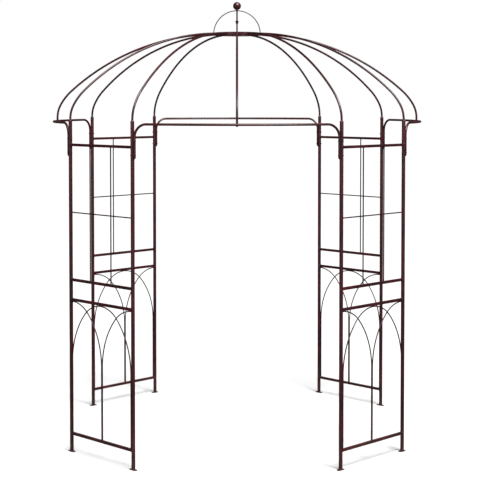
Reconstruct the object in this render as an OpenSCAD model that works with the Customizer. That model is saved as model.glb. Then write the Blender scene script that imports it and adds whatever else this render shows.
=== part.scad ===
// Domed metal garden arch: four lattice panels, four headers and twelve dome ribs
// that meet at a crown ring with a wire hoop and a ball finial.
// Origin at the centre of the footprint on the ground, +Z up, the front opening faces -Y.

/* [Overall] */
// Width of each walk-through opening, between post centres
opening_w = 1180; // [900:10:1300]
// Distance across the arch between the posts of two opposite openings
span = 1980; // [1800:10:2400]
// Height of the posts above the ground
post_h = 1984; // [1650:1:2300]

/* [Posts] */
// Outside diameter of a post
post_d = 22.2; // [19:0.1:32]
// Wall of the post tube
post_wall = 0.9; // [0.8:0.1:1.5]
// Gap at the butt joint between the halves of a post
butt_gap = 0.3; // [0.1:0.1:1]
// Length of the coupler inside the joint
coupler_l = 120; // [80:1:160]
// Wall of the coupler
coupler_wall = 1.5; // [1:0.1:3]
// Radial clearance of the coupler in the post
coupler_clear = 0.15; // [0.05:0.05:0.4]
// Distance of each coupler screw from the joint
coupler_screw_dist = 25; // [15:1:32]

/* [Feet] */
// Length of a foot plate, in line with its panel
foot_l = 56; // [50:1:90]
// Width of a foot plate
foot_w = 26; // [25:1:50]
// Thickness of a foot plate
foot_t = 3; // [2:0.5:8]
// Distance between the two anchor holes of a foot plate
foot_hole_dist = 40; // [36:1:70]
// Diameter of an anchor hole
foot_hole_d = 6; // [4:0.5:8]

/* [Panels] */
// Side of the square rail tube
rail_w = 16; // [12:0.5:20]
// Wall of the rail tube
rail_wall = 1; // [0.8:0.1:2]
// Distance of the top rail's centre below the post tops
top_rail_drop = 145; // [110:1:300]
// Height of the joint between the lower and upper halves
joint_z = 975.5; // [800:0.5:1100]
// Distance of each middle rail's centre from the joint
mid_rail_off = 59.5; // [45:0.5:90]
// Centre height of the bottom rail
bottom_rail_z = 111; // [60:1:200]
// Diameter of the uprights and the cross rod
rod_d = 7.5; // [5:0.5:8]
// Diameter of the rod of the lower arches
arch_rod_d = 7; // [5:0.5:7.5]
// Height of the curved part of an arch
arch_rise = 360; // [280:5:420]
// Angle of the tight bend at the top of an arch
arch_top_deg = 46; // [40:1:50]
// Gap left between rods that cross or stand side by side
rod_gap = 0.1; // [0.1:0.1:1]

/* [Headers] */
// Outside diameter of a header tube
header_d = 14.4; // [12:0.1:20]
// Wall of a header tube
header_wall = 1; // [0.8:0.1:1.5]
// Distance of a header's top below the post tops
header_drop = 15; // [10:1:60]
// Length of a header leg, from its top to its tip
header_leg_l = 201; // [180:1:260]
// How far the middle of a header stands out from the line between its legs
header_bow = 157; // [100:1:200]
// Radius of the corner bends of a header
header_bend_r = 75; // [50:1:100]
// Gap between a header leg and its post
header_gap = 0.3; // [0.1:0.1:1]
// Height of the lower bolt above the tip of a header leg
bolt_from_tip = 24; // [20:1:28]
// Distance between the two bolts of a header leg
bolt_spacing = 82; // [70:1:90]

/* [Dome] */
// Outside diameter of a rib
rib_d = 13; // [10:0.5:16]
// Wall of a rib
rib_wall = 1; // [0.8:0.1:1.5]
// Straight length of a rib between its socket and its first bend
rib_stand = 3; // [1:1:30]
// Radius of the first bend of a rib
rib_bend1_r = 170; // [120:5:220]
// Angle of the first bend of a rib
rib_bend1_deg = 29.3; // [20:0.1:35]
// Radius of the second bend of a rib
rib_bend2_r = 343; // [250:5:450]
// Angle of the second bend of a rib
rib_bend2_deg = 18.4; // [10:0.1:25]
// Distance from the arch's axis at which the last bend would be level
rib_level_r = 118; // [60:1:146]
// Gap between a header rib's foot and its header
rib_gap = 0.2; // [0.1:0.1:1]
// How far a header rib's foot reaches below the middle of its header
rib_foot_below = 12; // [8:1:20]
// Depth to which a rib stands in its socket
socket_depth = 32; // [20:1:40]
// Length of the socket's shank in the post
socket_l = 40; // [30:1:60]
// Height of the socket's collar above the post
socket_collar_h = 5; // [3:0.5:7]
// Radial clearance of the rib in the socket and of the socket in the post
socket_clear = 0.15; // [0.05:0.05:0.4]

/* [Crown] */
// Middle radius of the crown ring
ring_r = 148; // [120:1:180]
// Height of the crown ring's section
ring_h = 16.5; // [14:0.5:24]
// Thickness of the crown ring's section
ring_t = 5; // [4:0.5:8]
// Width of the bars of the cross inside the ring
cross_w = 16; // [12:1:24]
// Thickness of the cross
cross_t = 3; // [2:0.5:5]
// Diameter of the wire of the hoop
hoop_wire_d = 6; // [4:0.5:8]
// Height of the hoop above its feet
hoop_rise = 140; // [110:1:160]

/* [Finial] */
// Diameter of the stem
stem_d = 10; // [8:0.5:14]
// Diameter of the stem's threaded end and of its top spigot
stem_thread_d = 6; // [5:0.5:7.5]
// Diameter of the ball
ball_d = 51; // [40:1:70]
// Gap between the top of the hoop and the ball
ball_gap = 1.4; // [1:0.2:10]
// Thickness of the ball's shell
ball_wall = 1.2; // [1:0.1:3]
// Largest diameter of the collar
collar_d = 21; // [16:0.5:30]
// Height of the collar
collar_h = 18; // [10:1:30]
// Height of the collar above the crown ring's middle
collar_above = 66; // [40:1:90]
// Clearance of the hoop in the stem's cross hole and of the collar on the stem
finial_clear = 0.2; // [0.1:0.1:0.5]

/* [Fasteners] */
// Shank diameter of the header bolts
bolt_d = 5; // [4:0.5:6]
// Head diameter of the header bolts
bolt_head_d = 9.5; // [8:0.5:11]
// Width across flats of the nuts
nut_af = 8; // [7:0.5:10]
// Height of a nut
nut_h = 4; // [3:0.5:5]
// Shank diameter of the coupler screws
screw_d = 4; // [3:0.5:5]
// Head diameter of the coupler screws
screw_head_d = 7.5; // [6:0.5:9]
// Height of every screw and bolt head
head_h = 2.4; // [1.5:0.1:4]
// Radial clearance of a shank in its hole
hole_clear = 0.1; // [0.05:0.05:0.4]

/* [Colours] */
// Powder coat of tubes and rails
coat = "#54302f"; // ["#54302f", "#3b2a26", "#2f3b33"]
// Powder coat of thin rods and wires
rod_coat = "#5b4743"; // ["#5b4743", "#3b2a26", "#2f3b33"]
// Screws, bolts and nuts
fastener_coat = "#6a4a44"; // ["#6a4a44", "#8a8a88", "#3b2a26"]

/* [Hidden] */
$fn = 96;
eps = 0.5;
knuckle = 0.05;
function to_hundredth(x) = round(100 * x) / 100;

// Panels, by the direction they face from the middle
front_left = 225;
front_right = 315;
back_right = 45;
back_left = 135;
panels = [front_left, front_right, back_right, back_left];
// Openings, by the same kind of direction
front = 270;
back = 90;
left = 180;
right = 0;
openings = [front, right, back, left];
// Ends of a panel: +1 is reached first when turning anticlockwise seen from above
ends = [-1, 1];

half_opening = opening_w / 2;
half_span = span / 2;
panel_w = sqrt(2) * (half_span - half_opening);
panel_r = (half_span + half_opening) / sqrt(2);
post_circle_r = sqrt(pow(half_span, 2) + pow(half_opening, 2));
post_half_deg = atan(panel_w / 2 / panel_r);
post_r = post_d / 2;
post_bore_r = post_r - post_wall;
top_rail_z = post_h - top_rail_drop;
upper_mid_rail_z = joint_z + mid_rail_off;
lower_mid_rail_z = joint_z - mid_rail_off;

// Rods and arches
rod_r = rod_d / 2;
cross_rod_z = (top_rail_z + upper_mid_rail_z) / 2;
arch_r = arch_rod_d / 2;
arch_half_w = panel_w / 2 - post_r - arch_r - 3 * rod_gap;
arch_top_z = lower_mid_rail_z - rail_w / 2 - arch_r - rod_gap;
arch_spring_z = arch_top_z - arch_rise;
arch_foot_z = bottom_rail_z + rail_w / 2;
arch_mid_x = arch_r + rod_gap;
arch_sc = sin(arch_top_deg) + cos(arch_top_deg) - 1;
arch_tight_r = to_hundredth(
    (arch_half_w * cos(arch_top_deg) - arch_rise * (1 - sin(arch_top_deg))) / arch_sc);
arch_wide_r = to_hundredth(
    (arch_rise * sin(arch_top_deg) - arch_half_w * (1 - cos(arch_top_deg))) / arch_sc);
arch_leg = [0, arch_spring_z - arch_foot_z];
arch_side = [arch_wide_r, 90 - arch_top_deg, 0];

// Headers: each leg stands beside its post, in line with the panel
header_r = header_d / 2;
header_z = post_h - header_drop;
header_leg_z = header_z - header_leg_l;
header_bolt_z = [header_leg_z + bolt_from_tip, header_leg_z + bolt_from_tip + bolt_spacing];
header_leg_off = (post_r + header_r + header_gap) / sqrt(2);
leg_x = half_opening - header_leg_off;
leg_out = half_span + header_leg_off;
header_mid_r = leg_out + header_bow;
bow_centre = (pow(header_mid_r, 2) - pow(leg_out, 2) - pow(leg_x, 2) + pow(header_bend_r, 2))
    / (2 * header_bow);
bow_r = to_hundredth(header_mid_r - bow_centre);
bow_half_deg = atan(leg_x / (leg_out - bow_centre)) - atan(header_bend_r / bow_r);

// Ribs: three bends in a plane through the axis, each given by its centre [outward, up]
rib_r = rib_d / 2;
rib_bore_r = rib_r - rib_wall;
rib_bend_z = post_h + socket_collar_h + rib_stand;
rib_foot_z = post_h + socket_collar_h - socket_depth + socket_clear;
header_rib_foot_r = header_mid_r - header_r - rib_r - rib_gap;
header_rib_foot_z = header_z - rib_foot_below;
rib_base_r = min(header_rib_foot_r, post_circle_r);
rib_bend12_deg = rib_bend1_deg + rib_bend2_deg;
rib_bend3_r = to_hundredth(
    (rib_base_r - rib_level_r - rib_bend1_r * (1 - cos(rib_bend1_deg))
    - rib_bend2_r * (cos(rib_bend1_deg) - cos(rib_bend12_deg))) / cos(rib_bend12_deg));
rib_centre1 = [-rib_bend1_r, rib_bend_z];
rib_centre2 = rib_centre1 + (rib_bend1_r - rib_bend2_r) * [cos(rib_bend1_deg), sin(rib_bend1_deg)];
rib_centre3 = rib_centre2 + (rib_bend2_r - rib_bend3_r) * [cos(rib_bend12_deg), sin(rib_bend12_deg)];

// Crown ring, and where a rib with a given foot radius meets it
ring_out_r = ring_r + ring_t / 2;
ring_in_r = ring_r - ring_t / 2;
ring_z = rib_centre3[1] + rib_bend3_r * sin(rib_end_deg(rib_base_r));
ring_top_z = ring_z + ring_h / 2;
insert_l = 18;
insert_gap = 0.3;
function rib_end_deg(foot_r) = acos((ring_out_r - foot_r - rib_centre3[0]) / rib_bend3_r);
function rib_end_z(foot_r) = rib_centre3[1] + rib_bend3_r * sin(rib_end_deg(foot_r));

// Hoop and finial
hoop_top_z = ring_top_z + hoop_rise;
hoop_bend_r = (pow(ring_r, 2) + pow(hoop_rise, 2)) / (2 * hoop_rise);
hoop_side_deg = asin(ring_r / hoop_bend_r);
hoop_half_deg = hoop_rise < ring_r ? hoop_side_deg : 180 - hoop_side_deg;
stem_r = stem_d / 2;
ball_r = ball_d / 2;
ball_z = hoop_top_z + hoop_wire_d / 2 + ball_gap + ball_r;
ball_seat_z = ball_z - sqrt(pow(ball_r, 2) - pow(stem_r, 2));
cross_top_z = ring_z + cross_t / 2;
cross_bottom_z = ring_z - cross_t / 2;
collar_z = ring_z + collar_above;
spigot_l = 12;
thread_over = 3;

// ---- Places ----

// Panel frame: x points outward, y runs along the panel, z is up
module at_panel(facing) {
    rotate([0, 0, facing])
        translate([panel_r, 0, 0])
            children();
}

// Post frame: the panel frame moved to one end of the panel
module at_post(facing, end) {
    at_panel(facing)
        translate([0, end * panel_w / 2, 0])
            children();
}

module at_every_post() {
    for (facing = panels, end = ends)
        at_post(facing, end)
            children();
}

// Header leg frame: x points from the leg toward its post, z is up
module at_every_header_leg() {
    for (facing = panels, end = ends)
        at_post(facing, end)
            rotate([0, 0, -end * 90])
                translate([-(post_r + header_r + header_gap), 0, 0])
                    children();
}

// ---- Bars and tubes ----

// Straight bar along z
module bar(r, z0, z1) {
    translate([0, 0, z0])
        cylinder(r = r, h = z1 - z0);
}

// Part of a ring of round bar in the xz plane, centred on the origin, from the x axis toward z
module bend(bend_r, r, deg) {
    rotate([90, 0, 0])
        rotate_extrude(angle = deg, $fn = 360)
            translate([bend_r, 0])
                circle(r = r, $fn = 48);
}

// Round bar that follows a bending list from the origin, setting off along z.
// A step is [0, length] for a straight, or [radius, angle, roll] for a bend toward -x
// after a roll about the bar. A ball a hair thicker than the bar joins each step to the next.
module bent_bar(r, steps, i = 0) {
    if (i < len(steps)) {
        step = steps[i];
        if (i > 0)
            sphere(r = r + knuckle, $fn = 48);
        if (step[0] == 0) {
            cylinder(r = r, h = step[1], $fn = 48);
            translate([0, 0, step[1]])
                bent_bar(r, steps, i + 1);
        } else {
            rotate([0, 0, step[2]])
                translate([-step[0], 0, 0]) {
                    bend(step[0], r, step[1]);
                    rotate([0, -step[1], 0])
                        translate([step[0], 0, 0])
                            bent_bar(r, steps, i + 1);
                }
        }
    }
}

// Head and shank of a fastener that points along +x, with the head's seat at the origin
module screw(shank_d, head_d, l) {
    rotate([0, 90, 0])
        cylinder(d = shank_d, h = l, $fn = 32);
    rotate([0, -90, 0])
        cylinder(d1 = head_d, d2 = head_d * 0.7, h = head_h, $fn = 48);
}

module hex_nut(thread_d) {
    difference() {
        cylinder(d = nut_af / cos(30), h = nut_h, $fn = 6);
        translate([0, 0, -eps])
            cylinder(d = thread_d + 2 * hole_clear, h = nut_h + 2 * eps, $fn = 32);
    }
}

// ---- Posts ----

module coupler_screw_holes() {
    for (z = [-coupler_screw_dist, coupler_screw_dist])
        translate([0, 0, joint_z + z])
            rotate([0, -90, 0])
                cylinder(r = screw_d / 2 + hole_clear, h = post_r + eps, $fn = 32);
}

module header_bolt_holes(end) {
    for (z = header_bolt_z)
        translate([0, 0, z])
            rotate([-end * 90, 0, 0])
                translate([0, 0, -post_r - eps])
                    cylinder(r = bolt_d / 2 + hole_clear, h = 2 * (post_r + eps), $fn = 32);
}

module upper_post(facing, end) {
    color(coat)
        at_post(facing, end)
            difference() {
                bar(post_r, joint_z + butt_gap / 2, post_h);
                bar(post_bore_r, joint_z - eps, post_h + eps);
                coupler_screw_holes();
                header_bolt_holes(end);
            }
}

module lower_post(facing, end) {
    color(coat)
        at_post(facing, end)
            difference() {
                bar(post_r, foot_t, joint_z - butt_gap / 2);
                bar(post_bore_r, foot_t - eps, joint_z + eps);
                coupler_screw_holes();
            }
}

module post_couplers() {
    r = post_bore_r - coupler_clear;
    color(fastener_coat)
        at_every_post()
            difference() {
                bar(r, joint_z - coupler_l / 2, joint_z + coupler_l / 2);
                bar(r - coupler_wall, joint_z - coupler_l / 2 - eps, joint_z + coupler_l / 2 + eps);
                coupler_screw_holes();
            }
}

module coupler_screws() {
    color(fastener_coat)
        at_every_post()
            for (z = [-coupler_screw_dist, coupler_screw_dist])
                translate([-post_r, 0, joint_z + z])
                    screw(screw_d, screw_head_d, post_wall + coupler_wall + 4);
}

module foot_plates() {
    color(coat)
        at_every_post()
            difference() {
                union() {
                    translate([-foot_w / 2, -(foot_l - foot_w) / 2, 0])
                        cube([foot_w, foot_l - foot_w, foot_t]);
                    for (s = [-1, 1])
                        translate([0, s * (foot_l - foot_w) / 2, 0])
                            cylinder(d = foot_w, h = foot_t);
                }
                for (s = [-1, 1])
                    translate([0, s * foot_hole_dist / 2, -eps])
                        cylinder(d = foot_hole_d, h = foot_t + 2 * eps, $fn = 48);
            }
}

// ---- Panels ----

// Square tube from post to post, its ends cut to fit round the posts
module rail(z) {
    difference() {
        translate([-rail_w / 2, -panel_w / 2, z - rail_w / 2])
            cube([rail_w, panel_w, rail_w]);
        translate([-rail_w / 2 + rail_wall, -panel_w / 2 - eps, z - rail_w / 2 + rail_wall])
            cube([rail_w - 2 * rail_wall, panel_w + 2 * eps, rail_w - 2 * rail_wall]);
        for (end = ends)
            translate([0, end * panel_w / 2, z - rail_w])
                cylinder(r = post_r, h = 2 * rail_w);
    }
}

module panel_rails(facing) {
    color(coat)
        at_panel(facing)
            for (z = [top_rail_z, upper_mid_rail_z, lower_mid_rail_z, bottom_rail_z])
                rail(z);
}

// Two uprights between the rails, and one cross rod from post to post behind them
module upright_rods(facing) {
    depth = rod_r + rod_gap / 2;
    color(rod_coat)
        at_panel(facing) {
            for (y = [-panel_w / 6, panel_w / 6])
                translate([depth, y, 0])
                    bar(rod_r, upper_mid_rail_z + rail_w / 2, top_rail_z - rail_w / 2);
            difference() {
                translate([-depth, -panel_w / 2, cross_rod_z])
                    rotate([-90, 0, 0])
                        cylinder(r = rod_r, h = panel_w);
                for (end = ends)
                    translate([0, end * panel_w / 2, cross_rod_z - rod_d])
                        cylinder(r = post_r, h = 2 * rod_d);
            }
        }
}

// From one leg over the apex to the other leg
module full_arch() {
    translate([arch_half_w, 0, arch_foot_z])
        bent_bar(arch_r, [arch_leg, arch_side, [arch_tight_r, 2 * arch_top_deg, 0], arch_side, arch_leg]);
}

// From a leg beside the panel's middle up to an apex at the post
module half_arch(turn) {
    rotate([0, 0, turn])
        translate([-arch_mid_x, 0, arch_foot_z])
            bent_bar(arch_r, [arch_leg, arch_side, [arch_tight_r, arch_top_deg, 0]]);
}

// The full arch stands outside, the two half arches inside
module arch_rods(facing) {
    depth = arch_r + rod_gap / 2;
    color(rod_coat)
        at_panel(facing)
            rotate([0, 0, 90]) {
                translate([0, -depth, 0])
                    full_arch();
                translate([0, depth, 0])
                    for (turn = [0, 180])
                        half_arch(turn);
            }
}

// ---- Headers ----

// A header as round bar in its own frame: up a leg, over the bowed top and down the other leg
module header_bar(r, leg_end_z) {
    leg = [0, header_z - header_bend_r - leg_end_z];
    translate([leg_out, leg_x, leg_end_z])
        rotate([0, 0, 90 + bow_half_deg])
            bent_bar(r, [
                leg,
                [header_bend_r, 90, 0],
                [bow_r, 2 * bow_half_deg, -90],
                [header_bend_r, 90, 90],
                leg
            ]);
}

// Bolt holes of one header, in its own frame
module header_holes() {
    for (m = [0, 1])
        mirror([0, m, 0])
            for (z = header_bolt_z)
                translate([leg_out, leg_x, z])
                    rotate([0, 0, 135])
                        rotate([0, 90, 0])
                            translate([0, 0, -header_r - eps])
                                cylinder(r = bolt_d / 2 + hole_clear, h = 2 * (header_r + eps), $fn = 32);
    translate([header_mid_r - header_r - eps, 0, header_z])
        rotate([0, 90, 0])
            cylinder(r = bolt_d / 2 + hole_clear, h = 2 * (header_r + eps), $fn = 32);
}

// Takes away what lies below a plane at 45 degrees through a leg's tip, in the leg's place
module slant_cut() {
    translate([leg_out, leg_x, header_leg_z])
        rotate([0, 0, 135])
            translate([header_r, 0, 0])
                rotate([0, 45, 0])
                    translate([-2 * header_d, -header_d, -2 * header_d])
                        cube([4 * header_d, 2 * header_d, 2 * header_d]);
}

// The lower end of each leg is cut at a slant and closed
module header(facing) {
    color(coat)
        rotate([0, 0, facing])
            difference() {
                header_bar(header_r, header_leg_z);
                header_bar(header_r - header_wall, header_leg_z + header_d + header_wall);
                for (m = [0, 1])
                    mirror([0, m, 0])
                        slant_cut();
                header_holes();
            }
}

// Bolts from the opening side through leg and post
module header_bolts() {
    color(fastener_coat)
        at_every_header_leg()
            for (z = header_bolt_z)
                translate([-header_r, 0, z])
                    screw(bolt_d, bolt_head_d, header_d + header_gap + post_d + nut_h + 2);
}

// Nuts on the header bolts and on the rib foot bolts
module header_nuts() {
    color(fastener_coat) {
        at_every_header_leg()
            for (z = header_bolt_z)
                translate([header_r + header_gap + post_d, 0, z])
                    rotate([0, 90, 0])
                        hex_nut(bolt_d);
        for (facing = openings)
            rotate([0, 0, facing])
                translate([header_rib_foot_r - rib_r, 0, header_z])
                    rotate([0, -90, 0])
                        hex_nut(bolt_d);
    }
}

// Bolts from outside through the header and the rib foot behind it
module rib_foot_bolts() {
    color(fastener_coat)
        for (facing = openings)
            rotate([0, 0, facing])
                translate([header_mid_r + header_r, 0, header_z])
                    rotate([0, 0, 180])
                        screw(bolt_d, bolt_head_d, header_d + rib_gap + rib_d + nut_h + 2);
}

// ---- Dome ----

// A rib as round bar, from its foot over three bends to the given end angle
module rib_bar(r, foot_r, foot_z, end_deg) {
    translate([foot_r, 0, foot_z])
        bent_bar(r, [
            [0, rib_bend_z - foot_z],
            [rib_bend1_r, rib_bend1_deg, 0],
            [rib_bend2_r, rib_bend2_deg, 0],
            [rib_bend3_r, end_deg - rib_bend12_deg, 0]
        ]);
}

// Tube in the plane that the turn gives, its upper end cut to fit round the crown ring
module rib(turn, foot_r, foot_z) {
    past_ring_deg = rib_end_deg(foot_r) + 0.2;
    color(coat)
        rotate([0, 0, turn])
            difference() {
                rib_bar(rib_r, foot_r, foot_z, past_ring_deg);
                rib_bar(rib_bore_r, foot_r, foot_z - eps, past_ring_deg + 0.1);
                translate([0, 0, ring_z - 2 * ring_h])
                    cylinder(r = ring_out_r, h = 4 * ring_h, $fn = 360);
                children();
            }
}

module post_rib(facing, end) {
    rib(facing + end * post_half_deg, post_circle_r, rib_foot_z);
}

// The foot stands behind the header and is bolted to it
module header_rib(facing) {
    rib(facing, header_rib_foot_r, header_rib_foot_z)
        translate([header_rib_foot_r - rib_r - eps, 0, header_z])
            rotate([0, 90, 0])
                cylinder(r = bolt_d / 2 + hole_clear, h = rib_d + 2 * eps, $fn = 32);
}

// Shank inside the post, a cone above it, and a blind bore for the rib
module rib_sockets() {
    shank_r = post_bore_r - socket_clear;
    bore_r = rib_r + socket_clear;
    top_z = post_h + socket_collar_h;
    color(coat)
        at_every_post()
            difference() {
                union() {
                    bar(shank_r, post_h - socket_l, post_h);
                    translate([0, 0, post_h])
                        cylinder(r1 = post_r, r2 = bore_r + 1, h = socket_collar_h);
                }
                bar(bore_r, top_z - socket_depth, top_z + eps);
            }
}

// Frame at the ring end of a rib: x points out along the rib
module at_rib_end(turn, foot_r) {
    rotate([0, 0, turn])
        translate([ring_out_r, 0, rib_end_z(foot_r)])
            rotate([0, 90 - rib_end_deg(foot_r), 0])
                children();
}

module at_every_rib_end() {
    for (facing = openings)
        at_rib_end(facing, header_rib_foot_r)
            children();
    for (facing = panels, end = ends)
        at_rib_end(facing + end * post_half_deg, post_circle_r)
            children();
}

// Threaded plugs in the rib ends
module rib_end_inserts() {
    color(fastener_coat)
        at_every_rib_end()
            rotate([0, 90, 0])
                difference() {
                    bar(rib_bore_r - insert_gap, insert_gap, insert_gap + insert_l);
                    bar(bolt_d / 2 + hole_clear, 0, insert_l + 1);
                }
}

module crown_ring() {
    color(coat)
        difference() {
            translate([0, 0, ring_z - ring_h / 2])
                rotate_extrude($fn = 360)
                    translate([ring_in_r, 0])
                        square([ring_t, ring_h]);
            at_every_rib_end()
                rotate([0, 90, 0])
                    bar(bolt_d / 2 + hole_clear, -2 * ring_t, ring_t);
        }
}

// Screws from inside the ring into the rib ends
module crown_screws() {
    color(fastener_coat)
        at_every_rib_end()
            translate([-ring_t - hole_clear, 0, 0])
                screw(bolt_d, bolt_head_d, ring_t + insert_l * 0.8);
}

// Two bars that cross on a disc, between the rib screws, with their corners on the ring
module crown_cross() {
    bar_l = 2 * sqrt(pow(ring_in_r, 2) - pow(cross_w / 2, 2));
    color(coat)
        translate([0, 0, cross_bottom_z])
            linear_extrude(cross_t)
                difference() {
                    union() {
                        for (turn = [45, 135])
                            rotate([0, 0, turn])
                                square([bar_l, cross_w], center = true);
                        circle(r = cross_w);
                    }
                    circle(d = stem_thread_d + 2 * hole_clear);
                }
}

// Wire bent to an arc whose feet stand on the ring
module crown_hoop() {
    foot_over_deg = 3;
    color(rod_coat)
        difference() {
            translate([0, 0, hoop_top_z - hoop_bend_r])
                rotate([0, hoop_half_deg + foot_over_deg - 90, 0])
                    bend(hoop_bend_r, hoop_wire_d / 2, 2 * (hoop_half_deg + foot_over_deg));
            translate([-2 * ring_r, -ring_r, ring_top_z - ring_h])
                cube([4 * ring_r, 2 * ring_r, ring_h]);
        }
}

// ---- Finial ----

module finial_stem() {
    color(coat)
        difference() {
            union() {
                bar(stem_r, cross_top_z, ball_seat_z);
                bar(stem_thread_d / 2, cross_bottom_z - nut_h - thread_over, ball_seat_z + spigot_l);
            }
            translate([-stem_d, 0, hoop_top_z])
                rotate([0, 90, 0])
                    cylinder(r = hoop_wire_d / 2 + finial_clear, h = 2 * stem_d, $fn = 48);
        }
}

// Cup that widens upward, hollow at the top
module finial_collar() {
    r = collar_d / 2;
    in_r = stem_r + finial_clear;
    color(coat)
        translate([0, 0, collar_z])
            rotate_extrude()
                polygon([
                    [in_r, 0],
                    [in_r + 2, 0],
                    [r, collar_h * 0.75],
                    [r, collar_h],
                    [r - 2, collar_h],
                    [in_r, collar_h * 0.4]
                ]);
}

// Hollow ball with a flat seat and a hole for the stem's spigot
module finial_ball() {
    color(coat)
        difference() {
            translate([0, 0, ball_z])
                sphere(r = ball_r);
            difference() {
                translate([0, 0, ball_z])
                    sphere(r = ball_r - ball_wall);
                bar(stem_r, ball_z - ball_r, ball_seat_z + spigot_l / 2);
            }
            translate([0, 0, ball_z - ball_r - stem_d])
                cylinder(r = ball_r, h = ball_seat_z - ball_z + ball_r + stem_d);
            bar(stem_thread_d / 2 + hole_clear, ball_z - ball_r - eps, ball_seat_z + spigot_l + eps);
        }
}

module finial_nut() {
    color(fastener_coat)
        translate([0, 0, cross_bottom_z - nut_h])
            hex_nut(stem_thread_d);
}

upper_post(front_left, 1);  // front_left_upper_post_front
upper_post(front_left, -1);  // front_left_upper_post_side
upper_post(front_right, -1);  // front_right_upper_post_front
upper_post(front_right, 1);  // front_right_upper_post_side
upper_post(back_left, -1);  // back_left_upper_post_back
upper_post(back_left, 1);  // back_left_upper_post_side
upper_post(back_right, 1);  // back_right_upper_post_back
upper_post(back_right, -1);  // back_right_upper_post_side
lower_post(front_left, 1);  // front_left_lower_post_front
lower_post(front_left, -1);  // front_left_lower_post_side
lower_post(front_right, -1);  // front_right_lower_post_front
lower_post(front_right, 1);  // front_right_lower_post_side
lower_post(back_left, -1);  // back_left_lower_post_back
lower_post(back_left, 1);  // back_left_lower_post_side
lower_post(back_right, 1);  // back_right_lower_post_back
lower_post(back_right, -1);  // back_right_lower_post_side
panel_rails(front_left);  // front_left_rails
panel_rails(front_right);  // front_right_rails
panel_rails(back_left);  // back_left_rails
panel_rails(back_right);  // back_right_rails
upright_rods(front_left);  // front_left_upright_rods
upright_rods(front_right);  // front_right_upright_rods
upright_rods(back_left);  // back_left_upright_rods
upright_rods(back_right);  // back_right_upright_rods
arch_rods(front_left);  // front_left_arch_rods
arch_rods(front_right);  // front_right_arch_rods
arch_rods(back_left);  // back_left_arch_rods
arch_rods(back_right);  // back_right_arch_rods
header(front);  // front_header
header(back);  // back_header
header(left);  // left_header
header(right);  // right_header
header_rib(front);  // front_rib
header_rib(back);  // back_rib
header_rib(left);  // left_rib
header_rib(right);  // right_rib
post_rib(front_left, 1);  // front_left_rib_front
post_rib(front_left, -1);  // front_left_rib_side
post_rib(front_right, -1);  // front_right_rib_front
post_rib(front_right, 1);  // front_right_rib_side
post_rib(back_left, -1);  // back_left_rib_back
post_rib(back_left, 1);  // back_left_rib_side
post_rib(back_right, 1);  // back_right_rib_back
post_rib(back_right, -1);  // back_right_rib_side
post_couplers();
foot_plates();
rib_sockets();
rib_end_inserts();
crown_ring();
crown_cross();
crown_hoop();
finial_stem();
finial_collar();
finial_ball();
finial_nut();
coupler_screws();
header_bolts();
rib_foot_bolts();
header_nuts();
crown_screws();
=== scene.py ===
import logging
import math
from collections.abc import Iterator
from contextlib import contextmanager
from dataclasses import dataclass, field
from enum import Enum
from typing import ClassVar

import bmesh
import bpy
from mathutils import Matrix, Vector


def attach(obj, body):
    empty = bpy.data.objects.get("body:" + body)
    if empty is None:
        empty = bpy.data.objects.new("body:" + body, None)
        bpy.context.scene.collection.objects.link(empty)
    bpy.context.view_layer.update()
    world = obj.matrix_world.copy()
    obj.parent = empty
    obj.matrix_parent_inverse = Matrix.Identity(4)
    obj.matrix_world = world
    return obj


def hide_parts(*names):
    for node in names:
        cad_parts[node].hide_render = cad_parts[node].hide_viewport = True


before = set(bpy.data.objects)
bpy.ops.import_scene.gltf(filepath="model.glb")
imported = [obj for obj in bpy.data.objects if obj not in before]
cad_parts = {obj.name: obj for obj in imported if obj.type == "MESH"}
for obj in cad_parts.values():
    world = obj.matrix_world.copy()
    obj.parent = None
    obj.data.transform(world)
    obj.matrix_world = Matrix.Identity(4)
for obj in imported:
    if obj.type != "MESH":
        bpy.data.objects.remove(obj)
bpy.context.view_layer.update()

# A domed garden arch of powder-coated steel: eight round posts in pairs, a lattice panel
# between each pair, four bowed headers over the openings, and twelve dome ribs that meet at a
# crown ring under a wire hoop and a ball finial. Metres and degrees. The origin is on the
# ground at the middle, +Z is up and the front opening faces -Y.

log = logging.getLogger("garden_arch")
MM = 0.001
SAG = 0.08 * MM  # how far a straight piece of a centreline may cut inside its bend
SMOOTH_UNDER = math.radians(32)  # edges that turn by less than this are shaded smooth
MERGE_WITHIN = 0.001 * MM  # points nearer than this are one point

Point = tuple[float, float]
Step = tuple[float, ...]


# ---- Nodes and colours ----


def to_linear(colour: str) -> tuple[float, float, float, float]:
    """Turns an sRGB hex colour to linear light.

    Args:
        colour: Colour as "#rrggbb".

    Returns:
        Linear red, green, blue and a full alpha.
    """
    parts = [int(colour[i : i + 2], 16) / 255 for i in (1, 3, 5)]
    red, green, blue = (
        p / 12.92 if p <= 0.04045 else ((p + 0.055) / 1.055) ** 2.4 for p in parts
    )
    return red, green, blue, 1.0


def add_node(
    tree: bpy.types.NodeTree,
    kind: str,
    inputs: dict[str | int, object] | None = None,
    **settings: object,
) -> bpy.types.Node:
    """Adds a node, with its settings, values and links.

    Args:
        tree: Tree that the node goes into.
        kind: Blender's type name of the node.
        inputs: Value, or socket to link from, for each input by name or number.
        **settings: Properties of the node.

    Returns:
        The new node.
    """
    node = tree.nodes.new(kind)
    for name, value in settings.items():
        setattr(node, name, value)
    for key, value in (inputs or {}).items():
        if isinstance(value, bpy.types.NodeSocket):
            tree.links.new(value, node.inputs[key])
        else:
            node.inputs[key].default_value = value
    return node


# ---- Finishes ----


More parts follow.
